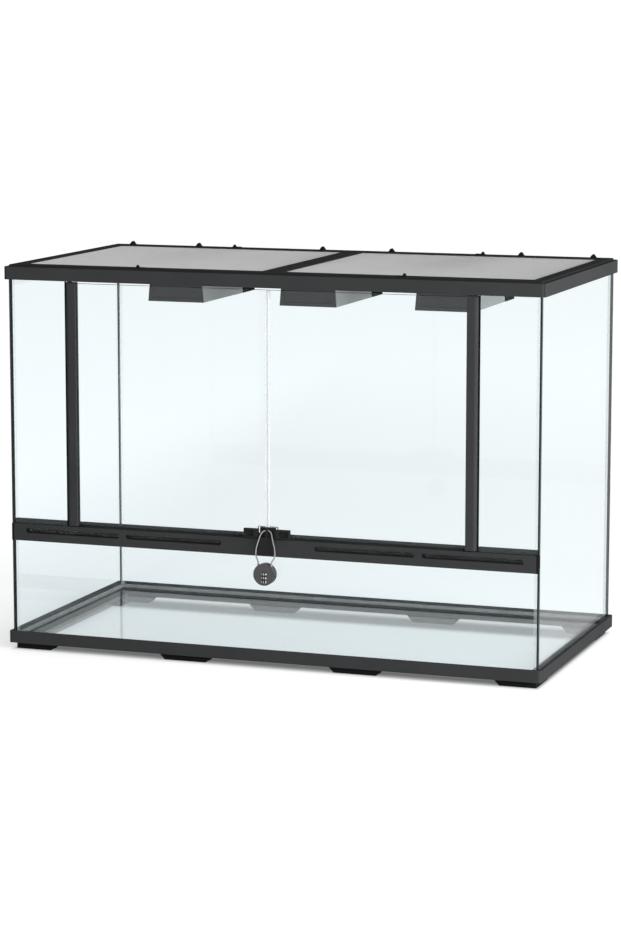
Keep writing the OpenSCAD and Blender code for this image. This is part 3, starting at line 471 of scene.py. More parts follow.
def lock_shaded_sides(colours):
    """Lacquer painted darker on the padlock's sides and back, as painted shade."""
    return painted("lock backing", tint(colours.lock, 0.3), rough=0.4, wear_and_highlight=2.6)


def white_ceramic(colours):
    """Glazed ceramic with a few specks."""
    finish = Finish("white ceramic")
    specks = finish.ramp(finish.noise(220, 3), (0.68, 0), (0.74, 1))
    return finish.done(finish.body(
        Base_Color=finish.blend(colours.ceramic[:], tint(colours.ceramic, 0.72), specks),
        Roughness=finish.noise(40, 3) * 0.12 + 0.2,
        Normal=finish.bump(finish.noise(90, 3), 0.12, 0.1 * MM),
        Coat_Weight=0.4,
    ))


def opal_lamp(colours):
    """Opal tubes and base of a lamp."""
    finish = Finish("opal lamp")
    cloud = finish.noise(45, 4)
    return finish.done(finish.body(
        Base_Color=finish.blend(tint(colours.lamp, 0.94), colours.lamp[:], cloud),
        Roughness=cloud * 0.12 + 0.16,
        Normal=finish.bump(finish.noise(120, 2), 0.05, 0.05 * MM),
    ))


def dial_plastic(colours):
    """Black plastic of the dials."""
    return moulded("dial plastic", colours.rubber, grain=0.25, rough=0.38, wear_and_highlight=2.6, gloss=0.4)


def digit_enamel(colours):
    """White filling of the numbers."""
    finish = Finish("digit enamel")
    cloud = finish.noise(600, 3)
    return finish.done(finish.body(
        Base_Color=finish.blend(tint(colours.digit, 0.82), tint(colours.digit, 1.08), cloud),
        Roughness=cloud * 0.1 + 0.4,
    ))


MADE = {}


def finish_of(maker):
    """The material that a maker gives, made once."""
    if maker not in MADE:
        MADE[maker] = maker(bpy.context.scene.terrarium_colours)
    return MADE[maker]


# Shapes

def sizes_now():
    """The sizes set in the panel."""
    return bpy.context.scene.terrarium_sizes


def box_of(node):
    """Lowest and highest corner of a node at rest."""
    low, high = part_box(node)
    return Vector(low), Vector(high)


def node_form(node):
    """The welded shape of a node, with its flat faces joined."""
    form = bmesh.new()
    form.from_mesh(frame["nodes"][node].data)
    bmesh.ops.remove_doubles(form, verts=form.verts, dist=WELD)
    bmesh.ops.dissolve_limit(form, angle_limit=math.radians(0.6), verts=form.verts, edges=form.edges)
    return form


def round_edges(form, width, steps=2, sharper_than=32):
    """Round the sharp edges of a shape and mark the new faces."""
    mark = form.faces.layers.float.get(EDGE_MARK) or form.faces.layers.float.new(EDGE_MARK)
    sharp = [edge for edge in form.edges
             if len(edge.link_faces) == 2 and edge.calc_face_angle() > math.radians(sharper_than)]
    made = bmesh.ops.bevel(form, geom=sharp, offset=width, offset_type="OFFSET", segments=steps,
                           profile=0.5, affect="EDGES", clamp_overlap=True)
    for face in made["faces"]:
        face[mark] = 1
    return form


def new_piece(name, form, makers, node, crisp=50):
    """Make a shape a piece that stands for a node and moves with its body."""
    form.normal_update()
    for face in form.faces:
        face.smooth = True
    for edge in form.edges:
        if len(edge.link_faces) == 2:
            edge.smooth = edge.calc_face_angle() < math.radians(crisp)
    mesh = bpy.data.meshes.new(name)
    form.to_mesh(mesh)
    form.free()
    for maker in makers:
        mesh.materials.append(finish_of(maker))
    piece = bpy.data.objects.new(name, mesh)
    bpy.context.scene.collection.objects.link(piece)
    even = piece.modifiers.new("even shading", "WEIGHTED_NORMAL")
    even.keep_sharp = True
    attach(piece, body_of(frame["nodes"][node])[0])
    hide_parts(node)
    return piece


def dressed(name, node, width, maker, steps=2):
    """A node with rounded edges and a finish."""
    return new_piece(name, round_edges(node_form(node), width, steps), [maker], node)


def two_toned(name, node, width, makers, second):
    """A node with rounded edges and two finishes; second tells which faces take the second one."""
    form = round_edges(node_form(node), width, 3)
    form.normal_update()
    for face in form.faces:
        face.material_index = 1 if second(face) else 0
    return new_piece(name, form, makers, node)


def along(start, direction):
    """Placement whose own Z runs from a point in a direction."""
    return Matrix.Translation(start) @ Vector(direction).to_track_quat("Z", "Y").to_matrix().to_4x4()


def turned(form, profile, place, sides=32, closed=False, reach=None, slot=0):
    """Add a turned solid. The profile is (height, radius) pairs along the place's own Z; a radius of 0 closes
    it, and reach gives each height and angle its own share of the radius."""
    rings = []
    for height, radius in profile:
        if radius == 0:
            rings.append([form.verts.new(place @ Vector((0, 0, height)))])
            continue
        ring = []
        for k in range(sides):
            angle = 2 * math.pi * k / sides
            here = radius * (reach(height, radius, angle) if reach else 1)
            point = Vector((here * math.cos(angle), here * math.sin(angle), height))
            ring.append(form.verts.new(place @ point))
        rings.append(ring)
    pairs = list(zip(rings, rings[1:]))
    if closed:
        pairs.append((rings[-1], rings[0]))
    for first, second in pairs:
        for k in range(sides):
            after = (k + 1) % sides
            corners = [first[k % len(first)], first[after % len(first)],
                       second[after % len(second)], second[k % len(second)]]
            face = form.faces.new(list(dict.fromkeys(corners)))
            face.material_index = slot
    return form


def smooth_path(points, step):
    """Even points on a smooth curve through the given ones."""
    points = [Vector(point) for point in points]
    ends = [points[0] * 2 - points[1], *points, points[-1] * 2 - points[-2]]
    fine = []
    for before, first, second, after in zip(ends, ends[1:], ends[2:], ends[3:]):
        count = max(1, round((second - first).length / step))
        for k in range(count):
            t = k / count
            fine.append(0.5 * (2 * first + (second - before) * t
                               + (2 * before - 5 * first + 4 * second - after) * t * t
                               + (3 * first - before - 3 * second + after) * t ** 3))
    return fine + [points[-1]]


def tube(form, path, radius, sides, reach=None, ends=None):
    """Add a closed tube along a path. Reach gives each distance and angle its share of the radius, and ends
    are the directions at the first and last point."""
    last = len(path) - 1
    headings = [(path[min(i + 1, last)] - path[max(i - 1, 0)]).normalized() for i in range(last + 1)]
    if ends:
        headings[0], headings[-1] = (Vector(end).normalized() for end in ends)
    side = headings[0].orthogonal().normalized()
    rings, distance = [], 0
    for i, (point, ahead) in enumerate(zip(path, headings)):
        side = (side - ahead * side.dot(ahead)).normalized()
        other = ahead.cross(side)
        distance += (point - path[i - 1]).length if i else 0
        ring = []
        for k in range(sides):
            angle = 2 * math.pi * k / sides
            here = radius * (reach(distance, angle) if reach else 1)
            ring.append(form.verts.new(point + (side * math.cos(angle) + other * math.sin(angle)) * here))
        rings.append(ring)
    for first, second in zip(rings, rings[1:]):
        for k in range(sides):
            after = (k + 1) % sides
            form.faces.new([first[k], first[after], second[after], second[k]])
    form.faces.new(rings[0][::-1])
    form.faces.new(rings[-1])
    return form


def prism(form, outline, bottom, top, slot=0):
    """Add an upright prism over an outline in X and Y."""
    low, high = [[form.verts.new((x, y, z)) for x, y in outline] for z in (bottom, top)]
    faces = [low[::-1], high]
    for k in range(len(outline)):
        after = (k + 1) % len(outline)
        faces.append([low[k], low[after], high[after], high[k]])
    for corners in faces:
        form.faces.new(corners).material_index = slot
    return form


def block(form, low, high, slot=0):
    """Add a block between two corners."""
    return prism(form, [(low[0], low[1]), (high[0], low[1]), (high[0], high[1]), (low[0], high[1])],
                 low[2], high[2], slot)


def outward(form):
    """Turn the faces of closed shapes outwards."""
    bmesh.ops.remove_doubles(form, verts=form.verts, dist=WELD)
    bmesh.ops.recalc_face_normals(form, faces=form.faces)
    return form


# Geometry node trees

class Form(Nodes):
    """A geometry node tree with named inputs."""

    def __init__(self, name, **inputs):
        super().__init__(bpy.data.node_groups.new(name, "GeometryNodeTree"))
        self.tree.interface.new_socket("Geometry", in_out="INPUT", socket_type="NodeSocketGeometry")
        for key, kind in inputs.items():
            self.tree.interface.new_socket(key, in_out="INPUT", socket_type="NodeSocket" + kind)
        self.tree.interface.new_socket("Geometry", in_out="OUTPUT", socket_type="NodeSocketGeometry")
        self.start = self.tree.nodes.new("NodeGroupInput")

    def given(self, name):
        """The value of a named input."""
        return Value(self, self.start.outputs[name])

    def done(self, geometry):
        """Realize the result, give it its material and close the tree."""
        real = self.add("GeometryNodeRealizeInstances", None, {0: geometry})
        set_up = self.add("GeometryNodeSetMaterial", None,
                          {"Geometry": real, "Material": self.given("Material")})
        self.put(set_up, self.tree.nodes.new("NodeGroupOutput").inputs[0])
        return self.tree

    def vector(self, x, y, z):
        """A vector from three numbers."""
        return self.add("ShaderNodeCombineXYZ", None, {0: x, 1: y, 2: z})


def grown(tree, mesh=None, **inputs):
    """The plain mesh that a tree makes from these inputs."""
    holder = bpy.data.objects.new("holder", mesh or bpy.data.meshes.new("holder"))
    bpy.context.scene.collection.objects.link(holder)
    growth = holder.modifiers.new("growth", "NODES")
    growth.node_group = tree
    for item in tree.interface.items_tree:
        if item.in_out == "INPUT" and item.name in inputs:
            growth[item.identifier] = inputs[item.name]
    ready = holder.evaluated_get(bpy.context.evaluated_depsgraph_get())
    result = bpy.data.meshes.new_from_object(ready)
    holder.modifiers.clear()
    bpy.data.objects.remove(holder)
    return result


def woven_tree():
    """Two layers of straight wires, square to each other."""
    form = Form("woven panel", Width="Float", Depth="Float", Pitch="Float", Wire="Float", Middle="Vector",
                Turn="Vector", Material="Material")
    wire, pitch = form.given("Wire"), form.given("Pitch")
    section = form.add("GeometryNodeCurvePrimitiveCircle", None, {"Resolution": 4, "Radius": wire * 0.5})
    layers = []
    for across, run, high in (("Width", "Depth", 0.4), ("Depth", "Width", -0.4)):
        lengthwise = run == "Depth"
        half, spread = form.given(run) * 0.5, form.given(across)
        count = form.add("ShaderNodeMath", {"operation": "FLOOR"}, {0: spread / pitch})
        start = (count - 1) * pitch * -0.5
        height = wire * high
        if lengthwise:
            first, step = form.vector(start, 0.0, height), form.vector(pitch, 0.0, 0.0)
            ends = form.vector(0.0, half * -1, 0.0), form.vector(0.0, half, 0.0)
        else:
            first, step = form.vector(0.0, start, height), form.vector(0.0, pitch, 0.0)
            ends = form.vector(half * -1, 0.0, 0.0), form.vector(half, 0.0, 0.0)
        points = form.add("GeometryNodeMeshLine", {"mode": "OFFSET"},
                          {"Count": count, "Start Location": first, "Offset": step})
        line = form.add("GeometryNodeCurvePrimitiveLine", None, {"Start": ends[0], "End": ends[1]})
        drawn = form.add("GeometryNodeCurveToMesh", None,
                         {"Curve": line, "Profile Curve": section, "Fill Caps": True})
        layers.append(form.add("GeometryNodeInstanceOnPoints", None, {"Points": points, "Instance": drawn}))
    joined = form.tree.nodes.new("GeometryNodeJoinGeometry")
    for layer in layers:
        form.tree.links.new(layer.socket, joined.inputs[0])
    moved = form.add("GeometryNodeTransform", None, {"Geometry": Value(form, joined.outputs[0]),
                                                     "Translation": form.given("Middle"),
                                                     "Rotation": form.given("Turn")})
    return form.done(moved)


def repeat_tree():
    """One shape on every point of a mesh."""
    form = Form("repeated fitting", Fitting="Object", Material="Material")
    fitting = form.add("GeometryNodeObjectInfo", None, {"Object": form.given("Fitting")}, "Geometry")
    placed = form.add("GeometryNodeInstanceOnPoints", None,
                      {"Points": form.given("Geometry"), "Instance": fitting})
    return form.done(placed)


def grown_form(*meshes):
    """One shape of some grown meshes."""
    form = bmesh.new()
    for mesh in meshes:
        form.from_mesh(mesh)
    return form


# The photograph's view

VIEW_FROM = (1.6484, -4.6528, 1.0630)
VIEW_AZIMUTH = 19.592
VIEW_ELEVATION = 8.813
VIEW_LENS = 115.80


class TERRARIUM_OT_camera(bpy.types.Operator):
    """Put the camera where the photograph was taken from"""
    bl_idname = "terrarium.camera"
    bl_label = "Camera"

    def execute(self, context):
        azimuth, elevation = math.radians(VIEW_AZIMUTH), math.radians(VIEW_ELEVATION)
        back = Vector((math.sin(azimuth) * math.cos(elevation), -math.cos(azimuth) * math.cos(elevation),
                       math.sin(elevation)))
        lens = bpy.data.cameras.new("camera")
        lens.lens = VIEW_LENS
        lens.sensor_width = 36
        lens.clip_end = 100
        camera = bpy.data.objects.new("camera", lens)
        context.scene.collection.objects.link(camera)
        camera.location = VIEW_FROM
        camera.rotation_euler = back.to_track_quat("Z", "Y").to_euler()
        context.scene.camera = camera
        return {"FINISHED"}


# Padlock and cable

STAPLE = Vector((0, -229.5, 226)) * MM
# Right half of the cable from the middle of the staple's hole to its ferrule, in millimetres
HALF_ROUTE = [
    (0, 0, -0.5), (2.4, 0, -0.55), (5.1, -0.5, -1.4), (7.3, -1.3, -3.1), (8.9, -2.4, -5.5),
    (9.9, -3.6, -8.2), (10.8, -4.7, -11.4), (11.9, -5.4, -15.4), (13.3, -5.9, -20),
    (14.8, -6.3, -25.2), (15.9, -6.7, -30.8), (16.3, -7.2, -36.4), (15.7, -7.9, -41),
    (14.1, -8.8, -45), (12.4, -9.7, -47.8), (11.5, -10.2, -49.8), (11.1, -10.45, -51.4),
    (11, -10.5, -53),
]
# The dials and the numbers that they show at rest
DIALS = {"upper_dial": 3, "middle_dial": 7, "lower_dial": 1}
# A dial's rim lies this far inside the solid's, so that the raised numbers stay within it
DIAL_SKIN = 0.07 * MM
DIAL_BORE = 1.6 * MM
DIAL_CHAMFER = 0.7 * MM
NOTCH_DEPTH = 0.35 * MM
# Share of a dial's thickness that the band with the numbers takes
DIAL_BAND = 0.72
DIGIT_DEPTH = 0.06 * MM
DIGIT_STROKE = 0.1 * MM
DIGIT_SEAT = 0.065 * MM
# A ferrule from its seat upwards, in shares of its height and radius, with a crimp round its middle
FERRULE = ((0, 0), (0, 0.8), (0.08, 1), (0.3, 1), (0.36, 0.86), (0.52, 0.86), (0.58, 1), (0.92, 1), (1, 0.82),
           (1, 0))
LOCK_ROUND = 0.9 * MM
SMALL_ROUND = 0.2 * MM


def cable_route():
    """The cable's points from its left ferrule to its right one."""
    right = [STAPLE + Vector(point) * MM for point in HALF_ROUTE]
    left = [Vector((-point.x, point.y, point.z)) for point in right[:0:-1]]
    return left + right


def digit_mesh(text, height):
    """A flat number as a mesh, upright in X and Z and facing -Y."""
    drawing = bpy.data.curves.new("digit", "FONT")
    drawing.body = text
    drawing.size = height
    drawing.extrude = DIGIT_DEPTH
    drawing.offset = DIGIT_STROKE
    drawing.align_x = "CENTER"
    drawing.align_y = "CENTER"
    drawing.resolution_u = 3
    holder = bpy.data.objects.new("digit", drawing)
    mesh = bpy.data.meshes.new_from_object(holder)
    bpy.data.objects.remove(holder)
    mesh.transform(Matrix.Rotation(math.radians(90), 4, "X"))
    return mesh


def dial_piece(node, shown):
    """A knurled dial with ten numbers round it, turned to show one of them."""
    sizes = sizes_now()
    low, high = box_of(node)
    middle, radius, half = (low + high) / 2, (high.x - low.x) / 2, (high.z - low.z) / 2
    outer, band = radius - DIAL_SKIN, half * DIAL_BAND
    chamfer, lip = outer - DIAL_CHAMFER, outer - DIAL_CHAMFER * 1.6

    def notched(height, here, angle):
        """Notches along the two rims; the band between them carries the numbers."""
        if abs(height) < band or here < chamfer:
            return 1
        return 1 - NOTCH_DEPTH / outer * max(0, math.cos(angle * sizes.knurls)) ** 2

    upper = [(band - 0.01 * MM, outer), (band, outer), (half - 0.4 * MM, outer), (half, chamfer), (half, lip),
             (half, DIAL_BORE)]
    rows = [(-height, here) for height, here in reversed(upper)] + upper
    form = turned(bmesh.new(), rows, Matrix.Translation(middle), sizes.knurls * 4, closed=True, reach=notched)
    outward(form)
    for k in range(10):
        mesh = digit_mesh(str(k), sizes.digit_height)
        angle = math.radians(36 * (k - shown))
        mesh.transform(Matrix.Translation(middle) @ Matrix.Rotation(angle, 4, "Z")
                       @ Matrix.Translation((0, DIGIT_SEAT - radius, 0)))
        before = len(form.faces)
        form.from_mesh(mesh)
        form.faces.ensure_lookup_table()
        for face in form.faces[before:]:
            face.material_index = 1
    return new_piece(node + "_wheel", form, [dial_plastic, digit_enamel], node)


class TERRARIUM_OT_padlock(bpy.types.Operator):
    """Make the padlock, its three dials and its steel cable"""
    bl_idname = "terrarium.padlock"
    bl_label = "Padlock"

    def execute(self, context):
        sizes = sizes_now()
        pieces = [
            # Faces that do not look to the front take the darker lacquer as painted shade, and so does the
            # whole rear shell
            two_toned("padlock_front", "lock_front_shell", LOCK_ROUND, [lock_lacquer, lock_shaded_sides],
                      lambda face: face.normal.y > -0.5),
            dressed("padlock_back", "lock_rear_shell", LOCK_ROUND, lock_shaded_sides, steps=3),
            dressed("padlock_axle", "dial_axle", SMALL_ROUND, bright_steel),
            *(dial_piece(node, shown) for node, shown in DIALS.items()),
            self.ferrules(),
        ]
        route = cable_route()
        path = smooth_path(route, 0.7 * MM)
        strands, lay = sizes.strands, sizes.strand_lay

        def stranded(distance, angle):
            """Strands laid round the cable."""
            turn = 2 * math.pi * distance / lay
            return 0.86 + 0.14 * abs(math.cos((angle + turn) * strands / 2))

        form = tube(bmesh.new(), path, sizes.cable_width / 2, strands * 6, reach=stranded,
                    ends=((0, 0, 1), (0, 0, -1)))
        cable = new_piece("padlock_cable", form, [cable_steel], "lock_cable", crisp=80)
        return {"FINISHED"}

    def ferrules(self):
        """Crimped ferrules where the cable enters the body."""
        low, high = box_of("cable_ferrules")
        radius, tall = (high.y - low.y) / 2, high.z - low.z
        rows = [(tall * up, radius * out) for up, out in FERRULE]
        form = bmesh.new()
        for x in (low.x + radius, high.x - radius):
            turned(form, rows, Matrix.Translation((x, (low.y + high.y) / 2, low.z)), 24)
        return new_piece("padlock_ferrules", outward(form), [cable_steel], "cable_ferrules")


# Mouldings

PLAIN_MOULDINGS = ("left_stile", "right_stile")
# The catch block and the handles are of a darker black; the lid frames take the same colour as painted shade
# on their tops
DARK_AND_TOP_SHADED_MOULDINGS = ("catch_block", "left_handle", "right_handle", "left_lid_frame", "right_lid_frame")
LID_FITTINGS = (
    "front_left_catch", "front_right_catch", "rear_left_catch", "rear_right_catch",
    "left_inlet_slider", "middle_inlet_slider", "right_inlet_slider",
)
# Webs on the rail behind the stiles: their reach past a stile towards the middle and the corner, and where
# they start and end behind it
WEB_INWARD = 7 * MM
WEB_OUTWARD = 3.7 * MM
WEB_START = 0.2 * MM
WEB_END = 1.3 * MM


class TERRARIUM_OT_mouldings(bpy.types.Operator):
    """Round the edges of the black mouldings and give them their grain"""
    bl_idname = "terrarium.mouldings"
    bl_label = "Mouldings"

    def execute(self, context):
        sizes = sizes_now()
        dressed("base_frame_moulding", "base_frame", sizes.frame_round, frame_plastic, steps=3)
        new_piece("vent_rail_moulding", self.webbed_rail(sizes), [frame_plastic], "vent_rail")
        for node in PLAIN_MOULDINGS:
            dressed(node + "_moulding", node, sizes.fitting_round, frame_plastic)
        for node in DARK_AND_TOP_SHADED_MOULDINGS:
            dressed(node + "_moulding", node, sizes.fitting_round, darker_plastic_with_top_shade)
        # The centre bar's top takes the darker black as painted shade
        dressed("centre_bar_moulding", "centre_bar", sizes.frame_round, darker_plastic_with_top_shade, steps=3)
        reach = box_of("top_frame")[1] - Vector((1, 1, 0)) * MM

        def takes_top_shade(face):
            """True for every face but those of the outer sides; these faces take the darker black as painted
            shade.
            """
            place = face.calc_center_bounds()
            return face.normal.z > 0.5 or (abs(place.x) < reach.x and abs(place.y) < reach.y)

        # The top frame's upward and inner faces take the darker black as painted shade; its outer sides keep
        # the frame plastic
        two_toned("top_frame_moulding", "top_frame", sizes.frame_round, [frame_plastic, darker_plastic_with_top_shade],
                  takes_top_shade)
        for node in LID_FITTINGS:
            dressed(node + "_moulding", node, sizes.peak_round, dark_plastic)
        dressed("rail_end_plugs", "rail_end_caps", sizes.fitting_round, dark_plastic)
        dressed("hinge_bush_rings", "hinge_bushes", SMALL_ROUND, dark_plastic)
        return {"FINISHED"}

    def webbed_rail(self, sizes):
        """The rail, with thin webs that join its ridges behind the stiles, clear of their turn."""
        form = round_edges(node_form("vent_rail"), sizes.frame_round, 3)
        low, high = box_of("right_stile")
        near, far = low.x - WEB_INWARD, high.x + WEB_OUTWARD
        front, back = high.y + WEB_START, high.y + WEB_END
        bottom = box_of("rail_end_caps")[1].z - 1 * MM
        top = box_of("vent_rail")[1].z - 0.2 * MM
        for start, end in ((-far, -near), (near, far)):
            block(form, (start, front, bottom), (end, back, top))
        return form


class TERRARIUM_OT_feet(bpy.types.Operator):
    """Make the feet under the base frame"""
    bl_idname = "terrarium.feet"
    bl_label = "Feet"

    def execute(self, context):
        for node in ("corner_feet", "middle_feet"):
            dressed(node + "_pads", node, sizes_now().frame_round, dark_plastic)
        return {"FINISHED"}


# Panes and silicone

PANES = (
    "floor_glass", "left_glass", "right_glass", "rear_glass", "front_lower_glass",
    "left_sidelight_glass", "right_sidelight_glass", "left_door_glass", "right_door_glass",
)
# How far from the middle the edges lie where the doors meet
MEETING_REACH = 5 * MM
# Fins of the seals: gap to the stile, depth in the seal and half their thickness
FIN_GAP = 0.2 * MM
FIN_ROOT = 0.3 * MM
FIN_HALF = 0.2 * MM


class TERRARIUM_OT_panes(bpy.types.Operator):
    """Make the panes with clear faces and ground edges"""
    bl_idname = "terrarium.panes"
    bl_label = "Panes"

    def execute(self, context):
        for node in PANES:
            low, high = box_of(node)
            thin = min(range(3), key=lambda axis: high[axis] - low[axis])
            form = round_edges(node_form(node), sizes_now().pane_arris, 1)
            form.normal_update()
            makers = [pane_face, pane_edge]
            if "door" in node:
                makers.append(door_edge)
            for face in form.faces:
                if abs(face.normal[thin]) < 0.9:
                    meeting = len(makers) == 3 and abs(face.calc_center_bounds().x) < MEETING_REACH
                    face.material_index = 2 if meeting else 1
            new_piece(node.replace("glass", "pane"), form, makers, node, crisp=20)
        return {"FINISHED"}


def hollow_bead(corner, toward, leg, sag, steps=6):
    """Outline of a bead in a corner, hollowed by the tool."""
    points = [corner]
    for k in range(steps + 1):
        t = k / steps
        dip = sag * 4 * t * (1 - t) / math.sqrt(2)
        points.append((corner[0] + toward[0] * (leg * (1 - t) - dip if k < steps else 0),
                       corner[1] + toward[1] * (leg * t - dip if k > 0 else 0)))
    return points


class TERRARIUM_OT_silicone(bpy.types.Operator):
    """Make the black bonds, the milky beads and the seals"""
    bl_idname = "terrarium.silicone"
    bl_label = "Silicone"

    def execute(self, context):
        sizes = sizes_now()
        rail, ends = box_of("vent_rail"), box_of("rail_end_caps")
        floor, side = box_of("floor_silicone"), box_of("right_glass")
        front, rear = box_of("front_lower_glass"), box_of("rear_glass")
        under_top = box_of("top_frame")[0].z
        form = bmesh.new()
        outer, inner = side[1].x, side[0].x
        fronts = ((floor[1].z, rail[0].z), (rail[1].z, under_top))
        for sign in (-1, 1):
            for bottom, top in ((side[0].z, rail[0].z), (ends[1].z, side[1].z)):
                block(form, (sign * inner, front[1].y, bottom), (sign * outer, side[0].y, top), 1)
            block(form, (sign * inner, side[1].y, side[0].z), (sign * outer, rear[0].y, side[1].z), 1)
            at_front = hollow_bead((sign * inner, front[1].y), (-sign, 1), sizes.bead_leg, sizes.bead_sag)
            for bottom, top in fronts:
                prism(form, at_front, bottom, top)
            at_rear = hollow_bead((sign * inner, rear[0].y), (-sign, -1), sizes.bead_leg, sizes.bead_sag)
            prism(form, at_rear, floor[1].z, under_top)
        bmesh.ops.recalc_face_normals(form, faces=form.faces)
        new_piece("corner_beads", form, [bead_silicone, bond_silicone], "corner_silicone", crisp=40)
        new_piece("floor_bead", node_form("floor_silicone"), [bead_silicone], "floor_silicone")
        new_piece("side_seals", self.finned_seals(), [dark_plastic], "sidelight_seals")
        for side_name in ("left", "right"):
            dressed(side_name + "_meeting_strip", side_name + "_edge_strip", SMALL_ROUND, strip_plastic)
        return {"FINISHED"}

    def finned_seals(self):
        """Seals on the side lights, each with a thin fin that closes the gap to the stile."""
        form = node_form("sidelight_seals")
        low, high = box_of("sidelight_seals")
        tip = box_of("right_stile")[1].x + FIN_GAP
        root = high.x - FIN_ROOT
        middle = (low.y + high.y) / 2
        for sign in (-1, 1):
            block(form, (sign * tip, middle - FIN_HALF, low.z), (sign * root, middle + FIN_HALF, high.z))
        bmesh.ops.recalc_face_normals(form, faces=form.faces)
        return form


# Woven panels

# Turns that lay a panel flat or stand it up
FLAT = (0.0, 0.0, 0.0)
UPRIGHT = (math.radians(90), 0.0, 0.0)


class TERRARIUM_OT_woven_panels(bpy.types.Operator):
    """Weave the wire of the lids and of the vents"""
    bl_idname = "terrarium.woven_panels"
    bl_label = "Woven panels"

    def execute(self, context):
        sizes = sizes_now()
        tree = woven_tree()
        wire, vent = finish_of(woven_wire), finish_of(vent_wire)
        for side in ("left", "right"):
            low, high = box_of(side + "_lid_mesh")
            mesh = grown(tree, Width=high.x - low.x, Depth=high.y - low.y, Pitch=sizes.lid_pitch,
                         Wire=sizes.lid_wire, Middle=(low + high) / 2, Turn=FLAT, Material=wire)
            new_piece(side + "_lid_weave", grown_form(mesh), [woven_wire], side + "_lid_mesh")
        meshes = []
        for low, high in self.islands("vent_mesh_strips"):
            meshes.append(grown(tree, Width=high.x - low.x, Depth=high.z - low.z, Pitch=sizes.vent_pitch,
                                Wire=sizes.vent_wire, Middle=(low + high) / 2, Turn=UPRIGHT, Material=vent))
        new_piece("vent_weave", grown_form(*meshes), [vent_wire], "vent_mesh_strips")
        return {"FINISHED"}

    def islands(self, node):
        """Corners of each separate solid of a node, from left to right."""
        form = node_form(node)
        left, found = set(form.verts), []
        while left:
            wave = [left.pop()]
            group = []
            while wave:
                vertex = wave.pop()
                group.append(vertex.co.copy())
                for edge in vertex.link_edges:
                    other = edge.other_vert(vertex)
                    if other in left:
                        left.remove(other)
                        wave.append(other)
            found.append((Vector(min(p[i] for p in group) for i in range(3)),
                          Vector(max(p[i] for p in group) for i in range(3))))
        form.free()
        return sorted(found, key=lambda pair: pair[0].x)


# Hoods and lamps

SIDES = ("left", "middle", "right")
# Screws of the hoods: radius of the shaft, height of the head and the socket in it
SCREW_SHAFT = 1.5 * MM
SCREW_HEAD = 2 * MM
SOCKET_RADIUS = 1.5 * MM
SOCKET_DEPTH = 1.2 * MM
# Lamps: the threaded cap, the base up to its end, and the folded tubes
CAP_RADIUS = 13 * MM
CAP_LENGTH = 22 * MM
BASE_RADIUS = 16 * MM
BASE_END = 48 * MM
TUBE_RADIUS = 5 * MM
TUBE_SPREAD = 7.5 * MM
THREAD_DEPTH = 0.8 * MM
THREAD_STEPS = 48


class TERRARIUM_OT_hoods(bpy.types.Operator):
    """Make the lamp hoods, their caps, boxes and screws"""
    bl_idname = "terrarium.hoods"
    bl_label = "Lamp hoods"

    def execute(self, context):
        sizes = sizes_now()
        for side in SIDES:
            dressed(side + "_hood_sheet", side + "_hood_shell", sizes.sheet_round, hood_sheet)
        dressed("hood_end_caps", "hood_front_caps", sizes.fitting_round, hood_cap)
        dressed("hood_gear_boxes", "hood_rear_boxes", sizes.frame_round, dark_plastic)
        self.screws()
        return {"FINISHED"}

    def screws(self):
        """Six socket screws through the ears of the hoods."""
        form = node_form("bracket_screws")
        low, high = box_of("bracket_screws")
        heads = sorted({round(face.calc_center_bounds().x, 4) for face in form.faces
                        if face.normal.y < -0.9 and face.calc_center_bounds().y < low.y + 0.1 * MM})
        form.free()
        middle_z = (low.z + high.z) / 2
        points = bpy.data.meshes.new("screw places")
        points.from_pydata([(x, high.y, middle_z) for x in heads], [], [])
        radius, end = (high.z - low.z) / 2, high.y - low.y
        neck, floor = end - SCREW_HEAD, end - SOCKET_DEPTH

        def hexagon(height, here, angle):
            """Six flat sides on the socket; the head stays round."""
            if here > SOCKET_RADIUS * 1.01:
                return 1
            return math.cos(math.radians(30)) / math.cos(angle % math.radians(60) - math.radians(30))

        rows = [(0, 0), (0, SCREW_SHAFT), (neck, SCREW_SHAFT), (neck, radius * 0.94),
                (neck + 0.2 * MM, radius), (end - 0.7 * MM, radius), (end - 0.2 * MM, radius * 0.9),
                (end, radius * 0.72), (end, SOCKET_RADIUS), (floor, SOCKET_RADIUS), (floor, 0)]
        one = turned(bmesh.new(), rows, along((0, 0, 0), (0, -1, 0)), 24, reach=hexagon)
        mesh = bpy.data.meshes.new("screw")
        outward(one).to_mesh(mesh)
        one.free()
        screw = bpy.data.objects.new("screw", mesh)
        placed = grown(repeat_tree(), points, Fitting=screw, Material=finish_of(bright_steel))
        bpy.data.objects.remove(screw)
        new_piece("hood_screws", grown_form(placed), [bright_steel], "bracket_screws")


